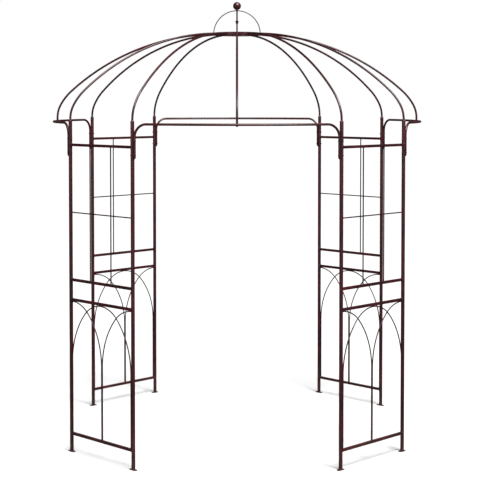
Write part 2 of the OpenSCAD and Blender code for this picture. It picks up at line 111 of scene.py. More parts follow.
@dataclass(frozen=True)
class PowderCoat:
    """Polyester powder, sprayed on steel and baked to a satin gloss.

    It gives the eye a dark red-brown that drifts a little in tone along a tube, a fine orange
    peel that breaks up the highlights, sparse lighter grains, and a breath of dust low down.

    Attributes:
        name: Name of the material.
        deep: Colour where the coat is thick.
        full: Colour where the coat is thin and looks warmer.
        grain: Colour of the lighter grains.
        roughness: Middle roughness.
        uneven: How far the roughness drifts either way.
        shine: Strength of the reflections; half is a clear gloss coat.
        drift: Size of the tone patches.
        peel: Size of the orange peel's waves, drawn a little coarser than the real 1.2 mm.
        peel_depth: Depth of the orange peel.
        speck: Distance between the grains.
        speck_share: Share of the grains' colour at their middle.
        dust: Colour of the dust from the ground.
        dust_share: Most that the dust covers.
        dust_top: Height at which the last dust ends.
    """

    name: str
    deep: str
    full: str
    grain: str
    roughness: float = 0.36
    uneven: float = 0.05
    shine: float = 0.4
    drift: float = 140 * MM
    peel: float = 2.0 * MM
    peel_depth: float = 0.05 * MM
    speck: float = 1.4 * MM
    speck_share: float = 0.12
    dust: str = "#8d7a6c"
    dust_share: float = 0.08
    dust_top: float = 260 * MM

    def material(self) -> bpy.types.Material:
        """Builds the material.

        Returns:
            The material.
        """
        material = bpy.data.materials.new(self.name)
        material.use_nodes = True
        tree = material.node_tree
        shader = tree.nodes["Principled BSDF"]
        place = add_node(tree, "ShaderNodeTexCoord").outputs["Object"]
        patches = add_node(
            tree,
            "ShaderNodeTexNoise",
            {"Vector": place, "Scale": 1 / self.drift, "Detail": 3.0, "Roughness": 0.55},
        )
        waves = add_node(
            tree,
            "ShaderNodeTexNoise",
            {"Vector": place, "Scale": 1 / self.peel, "Detail": 1.5, "Roughness": 0.5},
        )
        cells = add_node(
            tree,
            "ShaderNodeTexVoronoi",
            {"Vector": place, "Scale": 1 / self.speck, "Randomness": 1.0},
        )
        toned = add_node(
            tree,
            "ShaderNodeMapRange",
            {"Value": patches.outputs["Fac"], "From Min": 0.36, "From Max": 0.64},
        )
        colour = add_node(
            tree,
            "ShaderNodeMix",
            {0: toned.outputs["Result"], 6: to_linear(self.deep), 7: to_linear(self.full)},
            data_type="RGBA",
        )
        grains = add_node(
            tree,
            "ShaderNodeMapRange",
            {
                "Value": cells.outputs["Distance"],
                "From Min": 0.16,
                "From Max": 0.05,
                "To Min": 0.0,
                "To Max": self.speck_share,
            },
        )
        flecked = add_node(
            tree,
            "ShaderNodeMix",
            {0: grains.outputs["Result"], 6: colour.outputs[2], 7: to_linear(self.grain)},
            data_type="RGBA",
        )
        height = add_node(tree, "ShaderNodeSeparateXYZ", {"Vector": place})
        low = add_node(
            tree,
            "ShaderNodeMapRange",
            {
                "Value": height.outputs["Z"],
                "From Min": self.dust_top,
                "From Max": 0.0,
                "To Min": 0.0,
                "To Max": self.dust_share,
            },
        )
        dusty = add_node(
            tree,
            "ShaderNodeMath",
            {0: low.outputs["Result"], 1: patches.outputs["Fac"]},
            operation="MULTIPLY",
        )
        dusted = add_node(
            tree,
            "ShaderNodeMix",
            {0: dusty.outputs[0], 6: flecked.outputs[2], 7: to_linear(self.dust)},
            data_type="RGBA",
        )
        gloss = add_node(
            tree,
            "ShaderNodeMapRange",
            {
                "Value": patches.outputs["Fac"],
                "From Min": 0.3,
                "From Max": 0.7,
                "To Min": self.roughness + self.uneven,
                "To Max": self.roughness - self.uneven,
            },
        )
        matt = add_node(
            tree,
            "ShaderNodeMath",
            {0: dusty.outputs[0], 1: gloss.outputs["Result"]},
            operation="ADD",
        )
        peel = add_node(
            tree,
            "ShaderNodeBump",
            {"Height": waves.outputs["Fac"], "Strength": 0.15, "Distance": self.peel_depth},
        )
        tree.links.new(dusted.outputs[2], shader.inputs["Base Color"])
        tree.links.new(matt.outputs[0], shader.inputs["Roughness"])
        tree.links.new(peel.outputs["Normal"], shader.inputs["Normal"])
        shader.inputs["Specular IOR Level"].default_value = self.shine
        return material


@dataclass(frozen=True)
class ZincPlate:
    """Zinc plate, dipped bright on the couplers and inserts that the coat never reaches.

    It gives the eye a pale blue-grey metal with uneven patches.

    Attributes:
        name: Name of the material.
        light: Colour of the bright patches.
        dull: Colour of the dull patches.
        patch: Size of the patches.
    """

    name: str = "zinc_plate"
    light: str = "#c9ccd0"
    dull: str = "#9fa3a8"
    patch: float = 6 * MM

    def material(self) -> bpy.types.Material:
        """Builds the material.

        Returns:
            The material.
        """
        material = bpy.data.materials.new(self.name)
        material.use_nodes = True
        tree = material.node_tree
        shader = tree.nodes["Principled BSDF"]
        place = add_node(tree, "ShaderNodeTexCoord").outputs["Object"]
        cells = add_node(
            tree, "ShaderNodeTexVoronoi", {"Vector": place, "Scale": 1 / self.patch}
        )
        tone = add_node(tree, "ShaderNodeSeparateXYZ", {"Vector": cells.outputs["Color"]})
        colour = add_node(
            tree,
            "ShaderNodeMix",
            {0: tone.outputs["X"], 6: to_linear(self.light), 7: to_linear(self.dull)},
            data_type="RGBA",
        )
        gloss = add_node(
            tree,
            "ShaderNodeMapRange",
            {"Value": tone.outputs["Y"], "To Min": 0.32, "To Max": 0.5},
        )
        tree.links.new(colour.outputs[2], shader.inputs["Base Color"])
        tree.links.new(gloss.outputs["Result"], shader.inputs["Roughness"])
        shader.inputs["Metallic"].default_value = 1.0
        return material


@dataclass(frozen=True)
class StudioFloor:
    """Matt studio floor, which the lamps light until it melts into the background.

    It gives the eye an even white that takes only soft shadows.

    Attributes:
        name: Name of the material.
        colour: Colour of the floor.
        mottle: Size of the patches in its gloss.
    """

    name: str = "studio_floor"
    colour: str = "#bcbcbc"
    mottle: float = 0.9

    def material(self) -> bpy.types.Material:
        """Builds the material.

        Returns:
            The material.
        """
        material = bpy.data.materials.new(self.name)
        material.use_nodes = True
        tree = material.node_tree
        shader = tree.nodes["Principled BSDF"]
        place = add_node(tree, "ShaderNodeTexCoord").outputs["Object"]
        cloud = add_node(tree, "ShaderNodeTexNoise", {"Vector": place, "Scale": 1 / self.mottle})
        gloss = add_node(
            tree,
            "ShaderNodeMapRange",
            {"Value": cloud.outputs["Fac"], "To Min": 0.42, "To Max": 0.5},
        )
        tree.links.new(gloss.outputs["Result"], shader.inputs["Roughness"])
        shader.inputs["Base Color"].default_value = to_linear(self.colour)
        shader.inputs["Specular IOR Level"].default_value = 0.0
        return material


@dataclass(frozen=True)
class Finishes:
    """The materials that the pieces wear."""

    coat: bpy.types.Material
    wire: bpy.types.Material
    fastener: bpy.types.Material
    zinc: bpy.types.Material


# ---- Geometry-node tools ----


class Section(Enum):
    """Shape of a bar's or tube's outside."""

    ROUND = "round"
    SQUARE = "square"


class NodeTool:
    """A geometry-node tree with named inputs that turns an object into a plain mesh."""

    def __init__(self, name: str, sockets: dict[str, str]) -> None:
        """Starts the tree.

        Args:
            name: Name of the tree.
            sockets: Blender's socket type for each named input after the geometry.
        """
        self.tree = bpy.data.node_groups.new(name, "GeometryNodeTree")
        face = self.tree.interface
        face.new_socket("Geometry", in_out="INPUT", socket_type="NodeSocketGeometry")
        self.keys = {
            label: face.new_socket(label, in_out="INPUT", socket_type=kind).identifier
            for label, kind in {**sockets, "Material": "NodeSocketMaterial"}.items()
        }
        face.new_socket("Geometry", in_out="OUTPUT", socket_type="NodeSocketGeometry")
        self.inlet = self.tree.nodes.new("NodeGroupInput").outputs

    def node(self, kind: str, inputs: dict[str | int, object], **settings: object) -> bpy.types.Node:
        """Adds a node to this tool's tree."""
        return add_node(self.tree, kind, inputs, **settings)

    def end(self, geometry: bpy.types.NodeSocket) -> None:
        """Ends the tree with smooth shading, real geometry and the material.

        Args:
            geometry: Output that carries the finished shape.
        """
        smooth = self.node("GeometryNodeSetShadeSmooth", {"Geometry": geometry})
        real = self.node("GeometryNodeRealizeInstances", {"Geometry": smooth.outputs[0]})
        dressed = self.node(
            "GeometryNodeSetMaterial",
            {"Geometry": real.outputs[0], "Material": self.inlet["Material"]},
        )
        self.node("NodeGroupOutput", {"Geometry": dressed.outputs[0]})

    def run(self, name: str, mesh: bpy.types.Mesh, values: dict[str, object]) -> bpy.types.Object:
        """Makes an object whose plain mesh is the tree's result.

        Args:
            name: Name of the object.
            mesh: Mesh that goes into the tree.
            values: Value of each named input.

        Returns:
            The object, with no modifier left.
        """
        obj = bpy.data.objects.new(name, mesh)
        bpy.context.scene.collection.objects.link(obj)
        modifier = obj.modifiers.new(self.tree.name, "NODES")
        modifier.node_group = self.tree
        for label, value in values.items():
            modifier[self.keys[label]] = value
        graph = bpy.context.evaluated_depsgraph_get()
        made = bpy.data.meshes.new_from_object(obj.evaluated_get(graph), depsgraph=graph)
        obj.modifiers.clear()
        obj.data = made
        bpy.data.meshes.remove(mesh)
        return obj


class SweepTool(NodeTool):
    """Sweeps a round or rounded-square section along centrelines."""

    def __init__(self) -> None:
        """Builds the tree."""
        super().__init__(
            "sweep",
            {
                "Radius": "NodeSocketFloat",
                "Sides": "NodeSocketInt",
                "Square": "NodeSocketBool",
                "Corner": "NodeSocketFloat",
            },
        )
        line = self.node("GeometryNodeMeshToCurve", {"Mesh": self.inlet["Geometry"]})
        upright = self.node(
            "GeometryNodeSetCurveNormal",
            {"Curve": line.outputs[0], "Selection": self.inlet["Square"]},
            mode="Z_UP",
        )
        circle = self.node(
            "GeometryNodeCurvePrimitiveCircle",
            {"Resolution": self.inlet["Sides"], "Radius": self.inlet["Radius"]},
        )
        width = self.node(
            "ShaderNodeMath", {0: self.inlet["Radius"], 1: 2.0}, operation="MULTIPLY"
        )
        square = self.node(
            "GeometryNodeCurvePrimitiveQuadrilateral",
            {"Width": width.outputs[0], "Height": width.outputs[0]},
        )
        rounded = self.node(
            "GeometryNodeFilletCurve",
            {"Curve": square.outputs[0], "Count": 3, "Radius": self.inlet["Corner"]},
            mode="POLY",
        )
        profile = self.node(
            "GeometryNodeSwitch",
            {
                "Switch": self.inlet["Square"],
                "False": circle.outputs[0],
                "True": rounded.outputs[0],
            },
            input_type="GEOMETRY",
        )
        swell = self.node("GeometryNodeInputNamedAttribute", {"Name": "swell"})
        bar = self.node(
            "GeometryNodeCurveToMesh",
            {
                "Curve": upright.outputs[0],
                "Profile Curve": profile.outputs[0],
                "Scale": swell.outputs[0],
                "Fill Caps": True,
            },
        )
        self.end(bar.outputs[0])


class BeadTool(NodeTool):
    """Lays a rippled weld bead along seams."""

    def __init__(self) -> None:
        """Builds the tree."""
        super().__init__(
            "weld_bead",
            {"Radius": "NodeSocketFloat", "Pitch": "NodeSocketFloat", "Ripple": "NodeSocketFloat"},
        )
        line = self.node("GeometryNodeMeshToCurve", {"Mesh": self.inlet["Geometry"]})
        spacing = self.node("ShaderNodeMath", {0: self.inlet["Pitch"], 1: 3.0}, operation="DIVIDE")
        seam = self.node(
            "GeometryNodeResampleCurve",
            {"Curve": line.outputs[0], "Length": spacing.outputs[0]},
            mode="LENGTH",
        )
        along = self.node("GeometryNodeSplineParameter", {})
        turns = self.node(
            "ShaderNodeMath",
            {0: along.outputs["Length"], 1: self.inlet["Pitch"]},
            operation="DIVIDE",
        )
        phase = self.node("ShaderNodeMath", {0: turns.outputs[0], 1: math.tau}, operation="MULTIPLY")
        wave = self.node("ShaderNodeMath", {0: phase.outputs[0]}, operation="SINE")
        rippled = self.node(
            "ShaderNodeMath",
            {0: wave.outputs[0], 1: self.inlet["Ripple"], 2: 1.0},
            operation="MULTIPLY_ADD",
        )
        swell = self.node("GeometryNodeInputNamedAttribute", {"Name": "swell"})
        scale = self.node(
            "ShaderNodeMath", {0: rippled.outputs[0], 1: swell.outputs[0]}, operation="MULTIPLY"
        )
        circle = self.node(
            "GeometryNodeCurvePrimitiveCircle", {"Resolution": 8, "Radius": self.inlet["Radius"]}
        )
        bead = self.node(
            "GeometryNodeCurveToMesh",
            {
                "Curve": seam.outputs[0],
                "Profile Curve": circle.outputs[0],
                "Scale": scale.outputs[0],
                "Fill Caps": True,
            },
        )
        self.end(bead.outputs[0])


class CopyTool(NodeTool):
    """Sets a copy of one object at each point, turned as the point's `facing` says."""

    def __init__(self) -> None:
        """Builds the tree."""
        super().__init__("copies", {"Original": "NodeSocketObject"})
        original = self.node("GeometryNodeObjectInfo", {"Object": self.inlet["Original"]})
        facing = self.node(
            "GeometryNodeInputNamedAttribute", {"Name": "facing"}, data_type="FLOAT_VECTOR"
        )
        turn = self.node("FunctionNodeEulerToRotation", {"Euler": facing.outputs[0]})
        placed = self.node(
            "GeometryNodeInstanceOnPoints",
            {
                "Points": self.inlet["Geometry"],
                "Instance": original.outputs["Geometry"],
                "Rotation": turn.outputs[0],
            },
        )
        self.end(placed.outputs[0])


# ---- Centrelines and meshes ----


@dataclass
class Line:
    """A centreline or a seam.

    Attributes:
        points: Its points in order.
        closed: Whether the last point joins the first.
        swell: Share of the full radius at each point; all full where it is empty.
    """

    points: list[Vector]
    closed: bool = False
    swell: list[float] = field(default_factory=list)

    def chamfered(self, radius: float, cut: float) -> "Line":
        """Gives the line with a narrower ring at both ends, for a bar with broken edges.

        Args:
            radius: Radius of the bar.
            cut: Length and depth of the chamfer.

        Returns:
            A new open line.
        """
        first, last = self.points[0], self.points[-1]
        inner_first = first + (self.points[1] - first).normalized() * cut
        inner_last = last + (self.points[-2] - last).normalized() * cut
        points = [first, inner_first, *self.points[1:-1], inner_last, last]
        tip = 1 - cut / radius
        return Line(points, swell=[tip, *[1.0] * (len(points) - 2), tip])

    def moved(self, place: Matrix) -> "Line":
        """Gives the line in another place."""
        return Line([place @ p for p in self.points], self.closed, self.swell)


def straight(start: Step, end: Step) -> Line:
    """Gives a straight line between two points."""
    return Line([Vector(start), Vector(end)])


def trace(steps: list[Step], start: Matrix) -> Line:
    """Follows a bending list, as a tube bender does.

    Args:
        steps: Each is (0, length) for a straight, or (radius, angle, roll) for a bend toward
            -x after a roll about the bar.
        start: Place of the first point; the bar sets off along z.

    Returns:
        The centreline.
    """
    here = start.copy()
    points = [here.translation.copy()]
    for step in steps:
        if step[0] == 0:
            here = here @ Matrix.Translation((0, 0, step[1]))
            points.append(here.translation.copy())
            continue
        radius, angle = step[0], math.radians(step[1])
        here = here @ turned(step[2])
        parts = max(2, math.ceil(angle / (2 * math.acos(1 - SAG / radius))))
        to_centre, to_bar = shifted(-radius), shifted(radius)
        for k in range(1, parts + 1):
            turn = Matrix.Rotation(-angle * k / parts, 4, "Y")
            points.append((here @ to_centre @ turn @ to_bar).translation)
        here = here @ to_centre @ turn @ to_bar
    return Line(points)


def turned(degrees: float, axis: str = "Z") -> Matrix:
    """Gives a turn about an axis."""
    return Matrix.Rotation(math.radians(degrees), 4, axis)


def shifted(x: float, y: float = 0.0, z: float = 0.0) -> Matrix:
    """Gives a move."""
    return Matrix.Translation((x, y, z))


def loop(radius: float, count: int, place: Matrix) -> Line:
    """Gives a closed circle about the z axis of a place.

    Args:
        radius: Radius of the circle.
        count: Number of points.
        place: Frame whose z axis is the circle's.

    Returns:
        The closed line.
    """
    angles = [math.tau * k / count for k in range(count)]
    ring = [Vector((radius * math.cos(a), radius * math.sin(a), 0)) for a in angles]
    return Line(ring, True).moved(place)


def line_mesh(name: str, lines: list[Line]) -> bpy.types.Mesh:
    """Makes a mesh of edges from lines, with their swell as an attribute.

    Args:
        name: Name of the mesh.
        lines: Lines to put in it.

    Returns:
        The mesh, with no faces.
    """
    points: list[Vector] = []
    edges: list[tuple[int, int]] = []
    swell: list[float] = []
    for line in lines:
        first, count = len(points), len(line.points)
        points += line.points
        edges += [(first + i, first + i + 1) for i in range(count - 1)]
        if line.closed:
            edges.append((first + count - 1, first))
        swell += line.swell or [1.0] * count
    mesh = bpy.data.meshes.new(name)
    mesh.from_pydata(points, edges, [])
    mesh.attributes.new("swell", "FLOAT", "POINT").data.foreach_set("value", swell)
    return mesh


class Rim(Enum):
    """Outline of one ring of a turned part."""

    ROUND = "round"
    HEX = "hex"
    CROSS = "cross"

    def reach(self, angle: float) -> float:
        """Gives the share of the ring's radius at an angle in radians.

        Args:
            angle: Angle about the axis.

        Returns:
            1 on a round ring, the distance to the flats on a hexagon whose corners are at 1,
            or a narrow waist between the arms of a cross.
        """
        if self is Rim.HEX:
            sixth = math.pi / 3
            return math.cos(sixth / 2) / math.cos(angle % sixth - sixth / 2)
        if self is Rim.CROSS:
            waist = 0.34
            return waist + (1 - waist) * abs(math.cos(2 * angle)) ** 6
        return 1.0


@dataclass(frozen=True)
class Ring:
    """One ring of a turned part: radius, height and outline."""

    r: float
    z: float
    rim: Rim = Rim.ROUND


def lathe(name: str, rings: list[Ring], sides: int, open_core: bool = False) -> bpy.types.Mesh:
    """Turns rings about the z axis to a closed mesh.

    Args:
        name: Name of the mesh.
        rings: Rings from the lower end over the outside to the upper end; a radius of zero is
            a pole.
        sides: Number of sides.
        open_core: Whether the last ring joins the first round a hole.

    Returns:
        The mesh, with outward normals.
    """
    made = bmesh.new()
    rows: list[list[bmesh.types.BMVert]] = []
    for ring in rings:
        if ring.r == 0:
            rows.append([made.verts.new((0, 0, ring.z))] * sides)
            continue
        row = []
        for k in range(sides):
            angle = math.tau * k / sides
            reach = ring.r * ring.rim.reach(angle)
            row.append(made.verts.new((reach * math.cos(angle), reach * math.sin(angle), ring.z)))
        rows.append(row)
    pairs = list(zip(rows, rows[1:]))
    if open_core:
        pairs.append((rows[-1], rows[0]))
    for low, high in pairs:
        for k in range(sides):
            n = (k + 1) % sides
            corners = dict.fromkeys((low[k], low[n], high[n], high[k]))
            made.faces.new(list(corners))
    return closed_mesh(made, name)


def write_back(made: bmesh.types.BMesh, mesh: bpy.types.Mesh) -> None:
    """Points the faces outward, and writes a smooth mesh with sharp corners.

    Args:
        made: The mesh as it was edited, which is freed.
        mesh: Mesh to write to.
    """
    bmesh.ops.recalc_face_normals(made, faces=made.faces)
    made.to_mesh(mesh)
    made.free()
    mesh.shade_smooth()
    mesh.set_sharp_from_angle(angle=SMOOTH_UNDER)


def closed_mesh(made: bmesh.types.BMesh, name: str) -> bpy.types.Mesh:
    """Merges doubles and gives a finished mesh.

    Args:
        made: The mesh as it was built.
        name: Name of the mesh.

    Returns:
        The mesh.
    """
    bmesh.ops.remove_doubles(made, verts=made.verts, dist=MERGE_WITHIN)
    mesh = bpy.data.meshes.new(name)
    write_back(made, mesh)
    return mesh


def square_up(mesh: bpy.types.Mesh) -> None:
    """Points a swept mesh's faces outward and marks its sharp corners.

    Args:
        mesh: The mesh.
    """
    made = bmesh.new()
    made.from_mesh(mesh)
    write_back(made, mesh)


@contextmanager
def edited(mesh: bpy.types.Mesh) -> Iterator[bmesh.types.BMesh]:
    """Opens a mesh for an edit and writes it back finished.

    Args:
        mesh: The mesh.

    Yields:
        The mesh as it can be edited.
    """
    made = bmesh.new()
    made.from_mesh(mesh)
    yield made
    write_back(made, mesh)


def plate(name: str, outlines: list[list[Point]], thickness: float, edge: float) -> bpy.types.Mesh:
    """Makes a flat plate with rounded edges and holes, its lower face at z 0.

    Args:
        name: Name of the mesh.
        outlines: Outer outline first, then each hole.
        thickness: Thickness of the plate.
        edge: Radius of its edges.

    Returns:
        The mesh.
    """
    curve = bpy.data.curves.new(name, "CURVE")
    curve.dimensions = "2D"
    curve.fill_mode = "BOTH"
    curve.extrude = thickness / 2 - edge
    curve.bevel_depth = edge
    curve.bevel_resolution = 2
    curve.offset = -edge
    for outline in outlines:
        spline = curve.splines.new("POLY")
        spline.points.add(len(outline) - 1)
        for point, (x, y) in zip(spline.points, outline):
            point.co = (x, y, 0, 1)
        spline.use_cyclic_u = True
    obj = bpy.data.objects.new(name, curve)
    flat = bpy.data.meshes.new_from_object(obj)
    flat.transform(shifted(0, 0, thickness / 2))
    made = bmesh.new()
    made.from_mesh(flat)
    bpy.data.objects.remove(obj)
    bpy.data.curves.remove(curve)
    bpy.data.meshes.remove(flat)
    return closed_mesh(made, name)


def arc(radius: float, centre: Point, start: float, end: float, parts: int) -> list[Point]:
    """Gives points of an arc in the plane, angles in degrees."""
    angles = [math.radians(start + (end - start) * k / parts) for k in range(parts + 1)]
    return [(centre[0] + radius * math.cos(a), centre[1] + radius * math.sin(a)) for a in angles]


class Workshop:
    """Makes pieces with the tools, dresses them and fastens them to the CAD frame."""

    def __init__(self, finishes: Finishes) -> None:
        """Lays out the tools.

        Args:
            finishes: Materials to dress the pieces in.
        """
        self.finishes = finishes
        self.slots = {finishes.coat: "coat", finishes.wire: "wire", finishes.fastener: "fastener"}
        self.sweep_tool = SweepTool()
        self.bead_tool = BeadTool()
        self.copy_tool = CopyTool()

    def sweep(
        self,
        name: str,
        lines: list[Line],
        radius: float,
        finish: bpy.types.Material,
        sides: int = 24,
        section: Section = Section.ROUND,
        corner: float = 0.0,
    ) -> bpy.types.Object:
        """Makes a bar or tube along each line.

        Args:
            name: Name of the piece.
            lines: Centrelines.
            radius: Radius, or half the width of a square section.
            finish: Material.
            sides: Sides of a round section.
            section: Shape of the section.
            corner: Corner radius of a square section.

        Returns:
            The piece, not yet fastened.
        """
        obj = self.sweep_tool.run(
            name,
            line_mesh(name, lines),
            {
                "Radius": radius,
                "Sides": sides,
                "Square": section is Section.SQUARE,
                "Corner": corner,
                "Material": finish,
            },
        )
        square_up(obj.data)
        return obj

    def weld(
        self,
        name: str,
        seams: list[Line],
        radius: float,
        pitch: float = 2.6 * MM,
        ripple: float = 0.14,
    ) -> None:
        """Lays a coated weld bead along each seam and fastens it to the frame.

        Args:
            name: Name of the piece.
            seams: Seams.
            radius: Radius of the bead.
            pitch: Distance between the ripples of the bead.
            ripple: Height of a ripple, as a share of the radius.
        """
        coat = self.finishes.coat
        values = {"Radius": radius, "Pitch": pitch, "Ripple": ripple, "Material": coat}
        obj = self.bead_tool.run(name, line_mesh(name, seams), values)
        square_up(obj.data)
        self.fasten(obj)

    def copies(
        self,
        name: str,
        original: bpy.types.Mesh,
        places: list[Matrix],
        finish: bpy.types.Material,
        *nodes: str,
    ) -> None:
        """Sets a copy of a mesh in each place and fastens them as one piece.

        Args:
            name: Name of the piece.
            original: Mesh to copy.
            places: Place of each copy.
            finish: Material.
            *nodes: CAD nodes that the piece stands for.
        """
        original.materials.append(finish)
        pattern = bpy.data.objects.new(original.name, original)
        mesh = bpy.data.meshes.new(name)
        mesh.from_pydata([p.translation for p in places], [], [])
        facing = [angle for p in places for angle in p.to_euler()]
        mesh.attributes.new("facing", "FLOAT_VECTOR", "POINT").data.foreach_set("vector", facing)
        obj = self.copy_tool.run(name, mesh, {"Original": pattern, "Material": finish})
        bpy.data.objects.remove(pattern)
        bpy.data.meshes.remove(original)
        self.fasten(obj, *nodes)

    def single(
        self, name: str, mesh: bpy.types.Mesh, finish: bpy.types.Material, node: str
    ) -> None:
        """Dresses one mesh that is in place and fastens it as a piece.

        Args:
            name: Name of the piece.
            mesh: Its mesh.
            finish: Material.
            node: CAD node that it stands for.
        """
        mesh.materials.append(finish)
        obj = bpy.data.objects.new(name, mesh)
        bpy.context.scene.collection.objects.link(obj)
        self.fasten(obj, node)

    def fasten(self, obj: bpy.types.Object, *nodes: str) -> None:
        """Makes a piece ride the frame, in place of CAD nodes where it has some.

        Args:
            obj: The piece.
            *nodes: CAD nodes that it stands for.
        """
        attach(obj, "root")
        if nodes:
            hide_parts(*nodes)
        log.info("%s: %d faces, for %s", obj.name, len(obj.data.polygons), nodes or "no node")


# ---- Plan ----


class Side(Enum):
    """Something that faces a direction from the middle, in degrees."""

    @property
    def label(self) -> str:
        """Name in lower case."""
        return self.name.lower()


class Opening(Side):
    """An opening, by the direction that it faces."""

    FRONT = 270
    RIGHT = 0
    BACK = 90
    LEFT = 180


class Facing(Side):
    """A panel, by the direction that it faces."""

    FRONT_LEFT = 225
    FRONT_RIGHT = 315
    BACK_RIGHT = 45
    BACK_LEFT = 135


ENDS = (-1, 1)  # ends of a panel, +1 the anticlockwise one from above, or sides of a middle
CORNERS = [(facing, end) for facing in Facing for end in ENDS]  # where the posts stand


@dataclass(frozen=True)
class Plan:
    """Sizes that several sub-assemblies share, and the places that follow from them."""

    half_opening: float = 590 * MM
    half_span: float = 990 * MM
    post_h: float = 1984 * MM
    post_r: float = 11.1 * MM
    joint_z: float = 975.5 * MM
    foot_t: float = 3 * MM
    rail_w: float = 16 * MM
    top_rail_z: float = 1839 * MM
    upper_mid_z: float = 1035 * MM
    lower_mid_z: float = 916 * MM
    bottom_rail_z: float = 111 * MM
    header_r: float = 7.2 * MM
    header_z: float = 1969 * MM
    header_gap: float = 0.3 * MM
    header_bow: float = 157 * MM
    rib_r: float = 6.5 * MM
    rib_gap: float = 0.2 * MM

    @property
    def panel_w(self) -> float:
        """Distance between the posts of a panel."""
        return math.sqrt(2) * (self.half_span - self.half_opening)

    @property
    def panel_r(self) -> float:
        """Distance of a panel's middle from the axis."""
        return (self.half_span + self.half_opening) / math.sqrt(2)

    @property
    def post_circle_r(self) -> float:
        """Distance of a post from the axis."""
        return math.hypot(self.half_span, self.half_opening)

    @property
    def post_half_deg(self) -> float:
        """Angle between a panel's direction and either of its posts."""
        return math.degrees(math.atan(self.panel_w / 2 / self.panel_r))

    @property
    def leg_off(self) -> float:
        """Offset along X and along Y between a header leg and its post."""
        return (self.post_r + self.header_r + self.header_gap) / math.sqrt(2)

    @property
    def header_mid_r(self) -> float:
        """Distance of a header's middle from the axis."""
        return self.half_span + self.leg_off + self.header_bow

    @property
    def header_rib_foot_r(self) -> float:
        """Distance from the axis of the foot of a rib that stands behind a header."""
        return self.header_mid_r - self.header_r - self.rib_r - self.rib_gap

    def panel(self, facing: Facing) -> Matrix:
        """Gives a panel's frame: x outward, y along the panel, z up."""
        return turned(facing.value) @ shifted(self.panel_r)

    def post(self, facing: Facing, end: int) -> Matrix:
        """Gives a post's frame, turned like its panel's."""
        return self.panel(facing) @ shifted(0, end * self.panel_w / 2)

    def posts(self) -> list[Matrix]:
        """Gives every post's frame."""
        return [self.post(*corner) for corner in CORNERS]

    def header_legs(self) -> list[Matrix]:
        """Gives every header leg's frame: x from the leg toward its post."""
        reach = shifted(-(self.post_r + self.header_r + self.header_gap))
        return [self.post(facing, end) @ turned(-end * 90) @ reach for facing, end in CORNERS]

    def post_name(self, facing: Facing, end: int, part: str) -> str:
        """Names a part that stands at a post, as the CAD does.

        Args:
            facing: The post's panel.
            end: The post's end of the panel.
            part: Middle of the name, such as "upper_post".

        Returns:
            Such as "front_left_upper_post_side".
        """
        turn = math.radians(facing.value + end * self.post_half_deg)
        beside = abs(math.cos(turn)) > abs(math.sin(turn))
        return f"{facing.label}_{part}_{'side' if beside else facing.label.split('_')[0]}"


# ---- Posts and feet ----


@dataclass
class Posts:
    """Round posts in halves, welded to oblong foot plates and screwed at the joint."""

    plan: Plan
    butt_gap: float = 0.3 * MM
    edge: float = 0.5 * MM
    foot_l: float = 56 * MM
    foot_w: float = 26 * MM
    foot_edge: float = 0.6 * MM
    hole_dist: float = 40 * MM
    hole_r: float = 3 * MM
    screw_dist: float = 25 * MM
    screw_r: float = 2 * MM
    screw_head_r: float = 3.75 * MM
    screw_l: float = 6.4 * MM
    weld_r: float = 1.7 * MM
    weld_out: float = 0.4 * MM
    sides: int = 36

    def build(self, shop: Workshop) -> None:
        """Builds the post halves, the feet, their welds and the joint screws.

        Args:
            shop: Tools and finishes.
        """
        plan, coat = self.plan, shop.finishes.coat
        spans = {
            "lower_post": (plan.foot_t, plan.joint_z - self.butt_gap / 2),
            "upper_post": (plan.joint_z + self.butt_gap / 2, plan.post_h),
        }
        for facing, end in CORNERS:
            for part, (low, high) in spans.items():
                node = plan.post_name(facing, end, part)
                line = straight((0, 0, low), (0, 0, high)).moved(plan.post(facing, end))
                line = line.chamfered(plan.post_r, self.edge)
                tube = shop.sweep(f"{node}_tube", [line], plan.post_r, coat, self.sides)
                shop.fasten(tube, node)
        shop.copies("foot_plates_pressed", self.foot(), plan.posts(), coat, "foot_plates")
        seam = loop(plan.post_r + self.weld_out, 48, shifted(0, 0, plan.foot_t))
        shop.weld("foot_welds", [seam.moved(p) for p in plan.posts()], self.weld_r)
        places = [
            p @ shifted(-plan.post_r, 0, plan.joint_z + s * self.screw_dist) @ turned(-90, "Y")
            for p in plan.posts()
            for s in ENDS
        ]
        screw = screw_mesh("coupler_screw", self.screw_r, self.screw_head_r, self.screw_l, Rim.CROSS)
        shop.copies("coupler_screws_pan", screw, places, shop.finishes.fastener, "coupler_screws")

    def foot(self) -> bpy.types.Mesh:
        """Makes the oblong plate with its two anchor holes, long along y.

        Returns:
            The mesh.
        """
        reach, radius = (self.foot_l - self.foot_w) / 2, self.foot_w / 2
        outline = arc(radius, (0, reach), 0, 180, 16) + arc(radius, (0, -reach), 180, 360, 16)
        holes = [arc(self.hole_r, (0, s * self.hole_dist / 2), 360, 15, 23) for s in ENDS]
        return plate("foot_plate", [outline, *holes], self.plan.foot_t, self.foot_edge)


